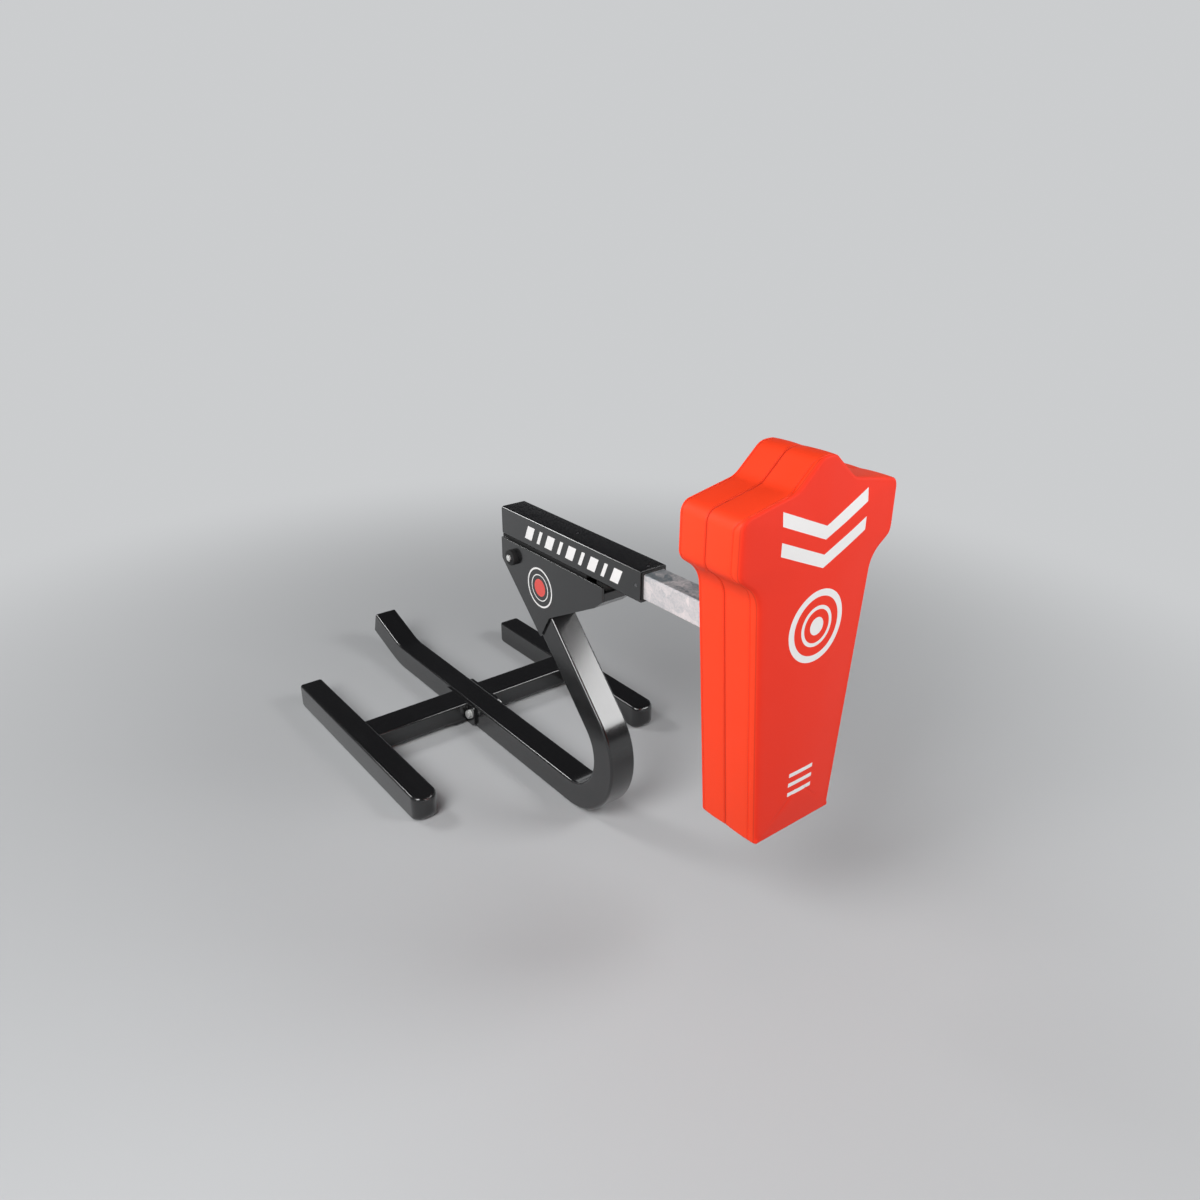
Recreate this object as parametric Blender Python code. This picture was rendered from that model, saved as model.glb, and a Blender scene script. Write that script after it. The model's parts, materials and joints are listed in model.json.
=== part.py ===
"""One-man football blocking sled.

A bent square tube makes the ground skid, the front bend and the leaning post. Two side runners
are bolted to it through crossbars. A square housing tilts on a pivot bolt at the top of the post,
and a galvanised arm slides in the housing against a spring and carries a padded body shape.

Metres, +Z up. The origin is on the ground, midway between the rear tip and the pad's face.
The pad looks along -Y, and the sled is alike on both sides of X = 0.
"""
from math import atan2, ceil, cos, degrees, pi, radians, sin, tan

import bmesh
import bpy
from mathutils import Matrix, Vector

# Clearance between pieces that touch, and the running clearance of the pivot
GAP = 0.0003
RUNNING_GAP = 0.0003

# Skid tube: one square tube, bent at the tail and at the front
TUBE = 0.1016
TUBE_WALL = 0.0048
TUBE_CORNER = 0.008
SKID_FLAT = 1.2638
FRONT_BEND_RADIUS = 0.1998
POST_LEAN = radians(46.6)
POST_LENGTH = 0.585
TAIL_BEND_RADIUS = 0.30
TAIL_LIFT = radians(18.3)
TAIL_LENGTH = 0.1935
CAP_THICKNESS = 0.005
LEAST_INNER_CORNER = 0.0015

# Pivot of the housing, measured along the post from its foot and square to it
PIVOT_ALONG_POST = 0.6410
PIVOT_AHEAD_OF_POST = 0.0105
PIVOT_BOLT_RADIUS = 0.007
LIFT_LIMIT = radians(25.0)

# Gusset plates, measured from the pivot
GUSSET_THICKNESS = 0.008
GUSSET_TOP = 0.0529
GUSSET_REAR = 0.0759
GUSSET_REAR_DROP = 0.0264
GUSSET_FRONT = 0.4941
GUSSET_NOSE_RISE = 0.0037
GUSSET_NOSE_LENGTH = 0.042
GUSSET_NOSE_DROP = 0.0338
GUSSET_FOOT_ALONG_POST = 0.3573
GUSSET_LIP_ALONG_POST = 0.3848
GUSSET_CORNER = 0.004

# Stop plate and bumper between the gusset plates
STOP_THICKNESS = 0.006
STOP_SHELF_DROP = 0.022
STOP_SHELF_LENGTH = 0.075
BUMPER_WIDTH = 0.070
BUMPER_LENGTH = 0.050
BUMPER_CORNER = 0.006
BUMPER_SCREW_RADIUS = 0.004
BUMPER_SCREW_DEPTH = 0.012
BUMPER_SCREW_HEX = 0.013
BUMPER_SCREW_HEAD_HEIGHT = 0.0053

# Pivot hardware
COLLAR_RADIUS = 0.0275
COLLAR_LENGTH = 0.0185
COLLAR_CHAMFER = 0.002
PIVOT_HEX = 0.021
PIVOT_HEAD_HEIGHT = 0.0055
PIVOT_NUT_HEIGHT = 0.0128
THREAD_PAST_NUT = 0.004
LUG_FRONT = 0.0276
LUG_REAR = 0.0324
LUG_TOP_LENGTH = 0.092
LUG_HEEL_WIDTH = 0.028
LUG_BASE_FRONT = 0.3996
LUG_BASE_THICKNESS = 0.010
BUSH_WALL = 0.0024
BUSH_LENGTH = 0.040
BUSH_FLANGE_RADIUS = 0.020
BUSH_FLANGE_THICKNESS = 0.003

# Arm housing
HOUSING = 0.100
HOUSING_WALL = 0.006
HOUSING_CORNER = 0.007
HOUSING_LENGTH = 0.7432
HOUSING_BEHIND_PIVOT = 0.0824
HOUSING_ABOVE_PIVOT = 0.0599
END_PLATE_THICKNESS = 0.005
SLEEVE_LENGTH = 0.060
SLEEVE_LIP = 0.005
REAR_SLEEVE_FROM_MOUTH = 0.371
SLEEVE_SCREW_RADIUS = 0.004
SLEEVE_SCREW_HEAD_RADIUS = 0.0065
SLEEVE_SCREW_HEAD_HEIGHT = 0.0025
SLEEVE_SCREW_BITE = 0.0017
SLEEVE_SCREW_FROM_MOUTH = 0.0222
SLEEVE_SCREW_HOLE_LEAD = 0.001

# Arm tube and its inner end
ARM = 0.079
ARM_WALL = 0.005
ARM_CORNER = 0.006
ARM_REACH = 0.399
ARM_RECOIL = 0.080
BLOCK_SHOULDER = 0.010
BLOCK_SPIGOT = 0.040
BLOCK_CLEARANCE = 0.0006

# Recoil spring, wound round the arm's line
SPRING_WIRE = 0.008
SPRING_MEAN_RADIUS = 0.031
SPRING_ACTIVE_TURNS = 10
SPRING_END_PITCH = 0.0090
SPRING_POINTS_PER_TURN = 9
SEAT_THICKNESS = 0.012
SEAT_POST_CLEARANCE = 0.0025

# Pad: the outline's points are half the width and the height above the pad's bottom
PAD_DEPTH_FRONT = 0.1074
PAD_DEPTH_REAR = 0.0900
PAD_BOTTOM_BELOW_ARM = 0.5055
PAD_HEIGHT = 1.0255
PAD_BOTTOM_HALF = 0.1495
PAD_BOTTOM_CORNER = 0.015
PAD_NECK_HALF = 0.2097
PAD_NECK_HEIGHT = 0.7454
PAD_NECK_FILLET = 0.050
PAD_SHOULDER_HALF = 0.2790
PAD_SHOULDER_BOTTOM = 0.7900
PAD_SHOULDER_BOTTOM_CORNER = 0.025
PAD_SHOULDER_TOP = 0.9215
PAD_SHOULDER_TOP_CORNER = 0.022
PAD_HEAD_FOOT_HALF = 0.1085
PAD_HEAD_FOOT_HEIGHT = 0.9535
PAD_HEAD_FOOT_FILLET = 0.030
PAD_HEAD_HALF = 0.0260
PAD_HEAD_HEIGHT = 1.0232
PAD_HEAD_CORNER = 0.045
PAD_EDGE = 0.014
PAD_CROWN = 0.006
PAD_SEAM_DRAW = 0.003
PAD_SEAM_PUFF = 0.020
PAD_SKIN = 0.002
PAD_LEAST_CORNER = 0.002
PAD_SPINE_LOW = 0.14
PAD_SPINE_HIGH = 0.84
PAD_CROWN_SHARES = (0.25, 0.7)
BOARD_THICKNESS = 0.018
BOARD_INSET = 0.024
PLATE_WIDTH = 0.200
PLATE_HEIGHT = 0.300
PLATE_THICKNESS = 0.008
PLATE_CORNER = 0.015
PAD_SCREW_SIDE = 0.072
PAD_SCREW_RISE = 0.118
PAD_SCREW_RADIUS = 0.005
PAD_SCREW_BITE = 0.014
PAD_SCREW_HEX = 0.017
PAD_SCREW_HEAD_HEIGHT = 0.0065

# Crossbars, and the flanges that bolt them to the skid
CROSSBAR_BEHIND_BEND = 0.7445
CROSSBAR_DEPTH = 0.127
CROSSBAR_HEIGHT = 0.0762
CROSSBAR_WALL = 0.0048
CROSSBAR_TOP_BELOW_RUNNER = 0.0015
FLANGE_THICKNESS = 0.010
FLANGE_LENGTH = 0.231
FLANGE_TOP = 0.098
FLANGE_BOTTOM = 0.004
FLANGE_CORNER = 0.022
FLANGE_BOLT_SPREAD = 0.0865
FLANGE_BOLT_HEIGHT = 0.055
FLANGE_BOLT_RADIUS = 0.010
FLANGE_HEX = 0.030
FLANGE_HEAD_HEIGHT = 0.0125
FLANGE_NUT_HEIGHT = 0.016
WASHER_RADIUS = 0.0185
WASHER_THICKNESS = 0.003
BRACE_THICKNESS = 0.008
BRACE_DROP = 0.0145
BRACE_LENGTH = 0.090
BRACE_FLAT = 0.052

# Side runners
RUNNER_WIDTH = 0.096
RUNNER_HEIGHT = 0.0975
RUNNER_WALL = 0.0048
RUNNER_CORNER = 0.008
RUNNER_CENTRE = 0.4980
RUNNER_REAR_FROM_CROSSBAR = 0.4915
RUNNER_FRONT_FROM_CROSSBAR = 0.5395
NOSE_LENGTH = 0.075
NOSE_PLAN_CORNER = 0.040
NOSE_BOTTOM_CURVE = 0.030
NOSE_TOP_BEVEL = 0.013
TAIL_PIECE_LENGTH = 0.036
TAIL_PLAN_CORNER = 0.012
TAIL_BOTTOM_CURVE = 0.026
TAIL_TOP_BEVEL = 0.004

# Hexagon heads and nuts, as shares of the width across flats, the height or the bolt's radius
HEX_CORNER = 0.565
HEX_CROWN = 0.46
HEX_CHAMFER = 0.14
BOLT_POINT = 0.15

# Facets: degrees for each step of a bend or corner, and sides of a round
BEND_STEP = radians(10.0)
CORNER_STEP = radians(45.0)
STEP_SLACK = 0.01
PAD_STEP = radians(18.0)
ROUND_SIDES = 18
SMOOTH_ANGLE = radians(35.0)


# Places along the sled, worked out from the sizes above
# The front bend's centre is found last, so that the origin is midway along the whole sled
POST_RUN = Vector((0.0, cos(POST_LEAN), sin(POST_LEAN)))
POST_AHEAD = Vector((0.0, -sin(POST_LEAN), cos(POST_LEAN)))
POST_TURN = pi - POST_LEAN
BEND_HEIGHT = TUBE / 2 + FRONT_BEND_RADIUS

# Measured from the bend's centre, before the origin is set
POST_FOOT_AHEAD = FRONT_BEND_RADIUS * sin(POST_TURN)
PIVOT_BEHIND_BEND = (PIVOT_ALONG_POST * POST_RUN + PIVOT_AHEAD_OF_POST * POST_AHEAD).y - POST_FOOT_AHEAD
TAIL_BEHIND_BEND = (SKID_FLAT + TAIL_BEND_RADIUS * sin(TAIL_LIFT) + TAIL_LENGTH * cos(TAIL_LIFT)
                    + CAP_THICKNESS * cos(TAIL_LIFT) + TUBE / 2 * sin(TAIL_LIFT))
PAD_FACE_AHEAD = (HOUSING_LENGTH - HOUSING_BEHIND_PIVOT + ARM_REACH + PAD_DEPTH_REAR
                  + PAD_DEPTH_FRONT + PAD_CROWN - PIVOT_BEHIND_BEND)
BEND_Y = (PAD_FACE_AHEAD - TAIL_BEHIND_BEND) / 2

POST_FOOT = Vector((0.0, BEND_Y - POST_FOOT_AHEAD, BEND_HEIGHT - FRONT_BEND_RADIUS * cos(POST_TURN)))
PIVOT = POST_FOOT + PIVOT_ALONG_POST * POST_RUN + PIVOT_AHEAD_OF_POST * POST_AHEAD
STOP_DISTANCE = PIVOT_ALONG_POST - POST_LENGTH - GAP - CAP_THICKNESS

GUSSET_INSIDE = TUBE / 2 + GAP
GUSSET_OUTSIDE = GUSSET_INSIDE + GUSSET_THICKNESS

HOUSING_REAR = PIVOT.y + HOUSING_BEHIND_PIVOT
MOUTH = HOUSING_REAR - HOUSING_LENGTH
HOUSING_BOTTOM = PIVOT.z + HOUSING_ABOVE_PIVOT
ARM_HEIGHT = HOUSING_BOTTOM + HOUSING / 2
HOUSING_BORE = HOUSING / 2 - HOUSING_WALL
PAD_BACK = MOUTH - ARM_REACH
SEAM = PAD_BACK - PAD_DEPTH_REAR
PAD_FACE = SEAM - PAD_DEPTH_FRONT
PAD_BOTTOM = ARM_HEIGHT - PAD_BOTTOM_BELOW_ARM

CROSSBAR_Y = BEND_Y + CROSSBAR_BEHIND_BEND
CROSSBAR_TOP = RUNNER_HEIGHT - CROSSBAR_TOP_BELOW_RUNNER
RUNNER_REAR = CROSSBAR_Y + RUNNER_REAR_FROM_CROSSBAR
RUNNER_FRONT = CROSSBAR_Y - RUNNER_FRONT_FROM_CROSSBAR
FLANGE_INSIDE = TUBE / 2 + GAP
FLANGE_OUTSIDE = FLANGE_INSIDE + FLANGE_THICKNESS


# Materials

def finish(name, colour, roughness, metallic=0.0):
    """A Principled material with one colour, roughness and metallic value."""
    material = bpy.data.materials.new(name)
    material.use_nodes = True
    shader = material.node_tree.nodes["Principled BSDF"]
    shader.inputs["Base Color"].default_value = (*colour, 1.0)
    shader.inputs["Roughness"].default_value = roughness
    shader.inputs["Metallic"].default_value = metallic
    return material


def make_finishes():
    """Every finish on the sled, by name."""
    return {
        "black_paint": finish("black_paint", (0.016, 0.016, 0.016), 0.35),
        "galvanised": finish("galvanised", (0.58, 0.57, 0.56), 0.42, 1.0),
        "zinc": finish("zinc", (0.66, 0.66, 0.64), 0.34, 1.0),
        "spring_steel": finish("spring_steel", (0.10, 0.10, 0.10), 0.40, 1.0),
        "black_plastic": finish("black_plastic", (0.020, 0.020, 0.020), 0.55),
        "rubber": finish("rubber", (0.018, 0.018, 0.018), 0.80),
        "vinyl_face": finish("vinyl_face", (0.80, 0.045, 0.025), 0.48),
        "vinyl_side": finish("vinyl_side", (0.95, 0.066, 0.022), 0.48),
        "foam": finish("foam", (0.75, 0.72, 0.60), 0.90),
        "plywood": finish("plywood", (0.52, 0.36, 0.20), 0.70),
    }


# Helpers that make meshes

def add_piece(name, mesh_builder, material, outline_angle=SMOOTH_ANGLE):
    """Turn a finished bmesh into a named object with its faces pointing out."""
    bmesh.ops.recalc_face_normals(mesh_builder, faces=mesh_builder.faces)
    if mesh_builder.calc_volume(signed=True) < 0.0:
        bmesh.ops.reverse_faces(mesh_builder, faces=mesh_builder.faces)
    mesh = bpy.data.meshes.new(name)
    mesh_builder.to_mesh(mesh)
    mesh_builder.free()
    mesh.shade_smooth()
    mesh.set_sharp_from_angle(angle=outline_angle)
    mesh.materials.append(material)
    piece = bpy.data.objects.new(name, mesh)
    bpy.context.scene.collection.objects.link(piece)
    return piece


def loft(name, rings, material, joined=False, outline_angle=SMOOTH_ANGLE):
    """Skin a row of rings; joined makes the last ring meet the first, as round a tube's wall."""
    builder = bmesh.new()
    rows = [[builder.verts.new(point) for point in ring] for ring in rings]
    pairs = list(zip(rows, rows[1:]))
    if joined:
        pairs.append((rows[-1], rows[0]))
    for near, far in pairs:
        for i in range(len(near)):
            j = (i + 1) % len(near)
            builder.faces.new((near[i], near[j], far[j], far[i]))
    if not joined:
        builder.faces.new(rows[0][::-1])
        builder.faces.new(rows[-1])
    return add_piece(name, builder, material, outline_angle)


def rounded_outline(corners, step):
    """Round the corners (a, b, radius) of a closed outline with arcs."""
    points = []
    count = len(corners)
    for i, (a, b, radius) in enumerate(corners):
        corner = Vector((a, b))
        before = (Vector(corners[i - 1][:2]) - corner).normalized()
        after = (Vector(corners[(i + 1) % count][:2]) - corner).normalized()
        if radius <= 0.0:
            points.append(corner)
            continue
        opening = before.angle(after)
        reach = radius / tan(opening / 2)
        centre = corner + (before + after).normalized() * radius / sin(opening / 2)
        start = corner + before * reach - centre
        end = corner + after * reach - centre
        turn = start.angle_signed(end)
        steps = max(1, ceil(abs(turn) / step - STEP_SLACK))
        first = atan2(start.y, start.x)
        for k in range(steps + 1):
            angle = first - turn * k / steps
            points.append(centre + radius * Vector((cos(angle), sin(angle))))
    return points


def rectangle(width, height, radius, step=CORNER_STEP):
    """A rounded rectangle about (0, 0)."""
    half_width, half_height = width / 2, height / 2
    return rounded_outline([(half_width, -half_height, radius), (half_width, half_height, radius),
                            (-half_width, half_height, radius), (-half_width, -half_height, radius)], step)


def inner_corner(corner, wall):
    """The corner radius inside a box tube."""
    return max(corner - wall, LEAST_INNER_CORNER)


def wall_loops(width, height, corner, wall):
    """The outer and inner loops of a box tube's section."""
    return (rectangle(width, height, corner),
            rectangle(width - 2 * wall, height - 2 * wall, inner_corner(corner, wall)))


def tube_along_y(name, section, y_start, y_end, centre_x, centre_z, material):
    """A straight box tube along Y."""
    outer, inner = section

    def ring(loop, y):
        return [Vector((centre_x + p.x, y, centre_z + p.y)) for p in loop]

    rings = [ring(outer, y_start), ring(outer, y_end), ring(inner, y_end), ring(inner, y_start)]
    return loft(name, rings, material, joined=True)


def block_along_y(name, stations, centre_x, centre_z, material):
    """A solid of rounded-square sections, from (y, loop) stations."""
    rings = [[Vector((centre_x + p.x, y, centre_z + p.y)) for p in loop] for y, loop in stations]
    return loft(name, rings, material)


def plate_yz(name, outline, x_start, x_end, material):
    """A flat plate whose outline lies in the YZ plane."""
    rings = [[Vector((x, p.x, p.y)) for p in outline] for x in (x_start, x_end)]
    return loft(name, rings, material)


def plate_xz(name, outline, y_start, y_end, material):
    """A flat plate whose outline lies in the XZ plane."""
    rings = [[Vector((p.x, y, p.y)) for p in outline] for y in (y_start, y_end)]
    return loft(name, rings, material)


def hexagon_radius(across_flats, angle):
    """Distance from a hexagon's centre to its side, in one direction."""
    sector = radians(60.0)
    return across_flats / 2 / cos((angle + sector / 2) % sector - sector / 2)


def turned_ring(origin, along, radius, hexagon=0.0, sides=ROUND_SIDES):
    """A round ring across the direction along, cut to a hexagon where one is given."""
    first = Vector((0.0, 0.0, 1.0)) if abs(along.z) < 0.5 else Vector((0.0, 1.0, 0.0))
    side = along.cross(first).normalized()
    upright = side.cross(along).normalized()
    points = []
    for i in range(sides):
        angle = 2 * pi * i / sides
        reach = min(radius, hexagon_radius(hexagon, angle)) if hexagon else radius
        points.append(origin + reach * (cos(angle) * upright + sin(angle) * side))
    return points


def turned(name, origin, along, profile, material, bored=False):
    """A turned piece from (distance, radius, hexagon) steps; bored closes the profile on itself."""
    rings = [turned_ring(origin + along * step[0], along, step[1], *step[2:]) for step in profile]
    return loft(name, rings, material, joined=bored)


def hex_bolt(name, origin, along, radius, length, across_flats, head_height, material):
    """A bolt whose head stands behind the origin, with its shank running along."""
    head_radius = across_flats * HEX_CORNER
    chamfer = head_height * HEX_CHAMFER
    profile = [(-head_height, across_flats * HEX_CROWN),
               (-head_height + chamfer, head_radius, across_flats),
               (0.0, head_radius, across_flats),
               (0.0, radius),
               (length - radius * BOLT_POINT, radius),
               (length, radius * (1 - BOLT_POINT))]
    return turned(name, origin, along, profile, material)


def hex_nut(name, origin, along, bore, height, across_flats, material):
    """A nut that starts at the origin and runs along."""
    head_radius = across_flats * HEX_CORNER
    chamfer = height * HEX_CHAMFER
    profile = [(0.0, bore),
               (0.0, head_radius, across_flats),
               (height - chamfer, head_radius, across_flats),
               (height, across_flats * HEX_CROWN),
               (height, bore)]
    return turned(name, origin, along, profile, material, bored=True)


def round_ring(name, origin, along, bore, radius, length, chamfer, material):
    """A washer, collar or boss with a bore."""
    profile = [(0.0, bore), (0.0, radius), (length - chamfer, radius), (length, radius - chamfer),
               (length, bore)]
    return turned(name, origin, along, profile, material, bored=True)


def cut_with(target, cutter):
    """Cut one mesh by another, which stays as a hidden guide."""
    cutter.hide_render = True
    cutter.display_type = "WIRE"
    modifier = target.modifiers.new(cutter.name, "BOOLEAN")
    modifier.operation = "DIFFERENCE"
    modifier.solver = "EXACT"
    modifier.object = cutter


def drill(targets, name, origin, along, profile):
    """Drill a turned shape through one or more pieces."""
    for target in targets:
        cutter = turned(f"{target.name}_{name}", origin, along, profile, target.active_material)
        cut_with(target, cutter)


def straight_hole(start, end, radius):
    """The profile of a plain hole."""
    return [(start, radius), (end, radius)]


# Skid, front bend and post

def skid_stations():
    """Points along the tube's centre line, each with the direction square to the tube."""
    stations = []
    tail_centre = Vector((0.0, BEND_Y + SKID_FLAT, TUBE / 2 + TAIL_BEND_RADIUS))
    tail_square = Vector((0.0, -sin(TAIL_LIFT), cos(TAIL_LIFT)))
    tail_run = Vector((0.0, cos(TAIL_LIFT), sin(TAIL_LIFT)))
    tail_start = tail_centre - TAIL_BEND_RADIUS * tail_square
    stations.append((tail_start + TAIL_LENGTH * tail_run, tail_square))
    tail_steps = max(2, ceil(TAIL_LIFT / (BEND_STEP / 2)))
    for k in range(tail_steps + 1):
        angle = TAIL_LIFT * (1 - k / tail_steps)
        square = Vector((0.0, -sin(angle), cos(angle)))
        stations.append((tail_centre - TAIL_BEND_RADIUS * square, square))
    bend_centre = Vector((0.0, BEND_Y, BEND_HEIGHT))
    bend_steps = ceil(POST_TURN / BEND_STEP)
    for k in range(bend_steps + 1):
        angle = POST_TURN * k / bend_steps
        square = Vector((0.0, sin(angle), cos(angle)))
        stations.append((bend_centre - FRONT_BEND_RADIUS * square, square))
    stations.append((POST_FOOT + POST_LENGTH * POST_RUN, -POST_AHEAD))
    return stations


def make_main_skid(finishes):
    """The bent tube, a wall of outer rings and inner rings, drilled for the flange bolts."""
    outer, inner = wall_loops(TUBE, TUBE, TUBE_CORNER, TUBE_WALL)
    stations = skid_stations()

    def ring(loop, station):
        origin, square = station
        return [origin + Vector((p.x, 0.0, 0.0)) + p.y * square for p in loop]

    rings = [ring(outer, station) for station in stations]
    rings += [ring(inner, station) for station in reversed(stations)]
    skid = loft("main_skid", rings, finishes["black_paint"], joined=True)
    for place, bolt_y in flange_bolt_places():
        origin = Vector((-TUBE, bolt_y, FLANGE_BOLT_HEIGHT))
        hole = straight_hole(0.0, 2 * TUBE, FLANGE_BOLT_RADIUS + GAP)
        drill([skid], f"hole_{place}", origin, Vector((1.0, 0.0, 0.0)), hole)


def make_tube_caps(finishes):
    """Plates that close the tail and the top of the post."""
    loop = rectangle(TUBE, TUBE, TUBE_CORNER)
    tail_run = Vector((0.0, cos(TAIL_LIFT), sin(TAIL_LIFT)))
    tail_square = Vector((0.0, -sin(TAIL_LIFT), cos(TAIL_LIFT)))
    tail_end = skid_stations()[0][0]
    post_end = POST_FOOT + POST_LENGTH * POST_RUN
    places = [("skid_tail_cap", tail_end, tail_run, tail_square),
              ("post_cap", post_end, POST_RUN, POST_AHEAD)]
    for name, end, run, square in places:
        rings = []
        for distance in (GAP, CAP_THICKNESS + GAP):
            centre = end + distance * run
            rings.append([centre + Vector((p.x, 0.0, 0.0)) + p.y * square for p in loop])
        loft(name, rings, finishes["black_paint"])


# Gusset plates, stop plate and bumper

def post_edge(along, side):
    """A point (y, z) on the post's front (+1) or rear (-1) face."""
    point = POST_FOOT + along * POST_RUN + side * TUBE / 2 * POST_AHEAD
    return point.y, point.z


def gusset_lower_edge():
    """The front half of a gusset's lower edge, from the post to the nose."""
    nose = (PIVOT.y - GUSSET_FRONT, PIVOT.z + GUSSET_NOSE_RISE)
    chin = (nose[0] + GUSSET_NOSE_LENGTH, nose[1] - GUSSET_NOSE_DROP)
    return [post_edge(GUSSET_LIP_ALONG_POST, 1), chin, nose]


def make_gusset_plates(finishes):
    """The two side plates that carry the pivot, welded to the sides of the post."""
    lip, chin, nose = gusset_lower_edge()
    corners = [(PIVOT.y + GUSSET_REAR, PIVOT.z + GUSSET_TOP, GUSSET_CORNER),
               (nose[0], PIVOT.z + GUSSET_TOP, GUSSET_CORNER),
               (*nose, 0.0),
               (*chin, 0.0),
               (*lip, 0.0),
               (*post_edge(GUSSET_FOOT_ALONG_POST, -1), GUSSET_CORNER),
               (PIVOT.y + GUSSET_REAR, PIVOT.z - GUSSET_REAR_DROP, GUSSET_CORNER)]
    outline = rounded_outline(corners, CORNER_STEP)
    for name, side in (("gusset_plate_left", -1), ("gusset_plate_right", 1)):
        plate = plate_yz(name, outline, side * GUSSET_INSIDE, side * GUSSET_OUTSIDE,
                         finishes["black_paint"])
        hole = straight_hole(-TUBE, TUBE, PIVOT_BOLT_RADIUS + GAP)
        drill([plate], "hole", PIVOT, Vector((1.0, 0.0, 0.0)), hole)


def strip(path, thickness):
    """A bent sheet's outline: the path, and the same path moved left of its run by thickness."""
    points = [Vector(p) for p in path]
    moved = []
    for i, point in enumerate(points):
        runs = []
        if i > 0:
            runs.append((point - points[i - 1]).normalized())
        if i < len(points) - 1:
            runs.append((points[i + 1] - point).normalized())
        lefts = [Vector((-run.y, run.x)) for run in runs]
        middle = sum(lefts, Vector((0.0, 0.0))).normalized()
        moved.append(point + middle * thickness / middle.dot(lefts[0]))
    return points + moved[::-1]


def stop_shelf_height():
    """Height of the stop plate's top leg."""
    return PIVOT.z + GUSSET_TOP - STOP_SHELF_DROP


def make_stop(finishes):
    """The bent plate between the gussets, and the rubber bumper that the housing rests on."""
    lip, chin, nose = (Vector(p) for p in gusset_lower_edge())
    run = (lip - chin).normalized()
    start = lip - run * TUBE_CORNER
    shelf = stop_shelf_height()
    shelf_end = nose.x + STOP_SHELF_LENGTH
    path = [(shelf_end, shelf), (nose.x, shelf), nose, chin, start]
    half_width = GUSSET_INSIDE - GAP
    plate = plate_yz("stop_plate", strip(path, STOP_THICKNESS), -half_width, half_width,
                     finishes["black_paint"])

    bumper_y = nose.x + STOP_SHELF_LENGTH / 2
    loop = rectangle(BUMPER_WIDTH, BUMPER_LENGTH, BUMPER_CORNER)
    levels = (shelf + GAP, HOUSING_BOTTOM - GAP)
    rings = [[Vector((p.x, bumper_y + p.y, z)) for p in loop] for z in levels]
    bumper = loft("stop_bumper", rings, finishes["rubber"])

    up = Vector((0.0, 0.0, 1.0))
    origin = Vector((0.0, bumper_y, shelf - STOP_THICKNESS - GAP))
    shank = STOP_THICKNESS + BUMPER_SCREW_DEPTH
    hole = straight_hole(-STOP_THICKNESS, shank + GAP, BUMPER_SCREW_RADIUS + GAP)
    drill([plate, bumper], "hole", origin, up, hole)
    hex_bolt("bumper_screw", origin, up, BUMPER_SCREW_RADIUS, shank, BUMPER_SCREW_HEX,
             BUMPER_SCREW_HEAD_HEIGHT, finishes["zinc"])


# Pivot: collars, bolt, nut, lug and bushes

def make_pivot_hardware(finishes):
    """Round bosses outside the gussets, and the bolt and nut through them."""
    for name, side in (("pivot_collar_left", -1), ("pivot_collar_right", 1)):
        outward = Vector((side, 0.0, 0.0))
        origin = PIVOT + outward * (GUSSET_OUTSIDE + GAP)
        round_ring(name, origin, outward, PIVOT_BOLT_RADIUS + GAP, COLLAR_RADIUS, COLLAR_LENGTH,
                   COLLAR_CHAMFER, finishes["black_paint"])
    seat = GUSSET_OUTSIDE + COLLAR_LENGTH + 2 * GAP
    along = Vector((1.0, 0.0, 0.0))
    length = 2 * seat + PIVOT_NUT_HEIGHT + THREAD_PAST_NUT
    hex_bolt("pivot_bolt", PIVOT - along * seat, along, PIVOT_BOLT_RADIUS, length, PIVOT_HEX,
             PIVOT_HEAD_HEIGHT, finishes["zinc"])
    hex_nut("pivot_nut", PIVOT + along * seat, along, PIVOT_BOLT_RADIUS + GAP, PIVOT_NUT_HEIGHT,
            PIVOT_HEX, finishes["zinc"])


def lug_outline():
    """The lug from the side: a base bar, a barrel, and a heel that meets the post's cap."""
    turn_back = Matrix.Rotation(LIFT_LIMIT, 2)
    down = turn_back @ Vector((-POST_RUN.y, -POST_RUN.z))
    across = turn_back @ Vector((-POST_AHEAD.y, -POST_AHEAD.z))
    toe = down * (STOP_DISTANCE - GAP)
    heel = toe + across * LUG_HEEL_WIDTH
    top = HOUSING_ABOVE_PIVOT - GAP
    base = top - LUG_BASE_THICKNESS
    half_top = LUG_TOP_LENGTH / 2
    pivot = Vector((PIVOT.y, PIVOT.z))
    corners = [(HOUSING_BEHIND_PIVOT, top), (-LUG_BASE_FRONT, top), (-LUG_BASE_FRONT, base),
               (-half_top, base), (-LUG_FRONT, 0.0), toe, heel, (LUG_REAR, 0.0),
               (half_top, base), (HOUSING_BEHIND_PIVOT, base)]
    return [Vector(corner) + pivot for corner in corners]


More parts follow.
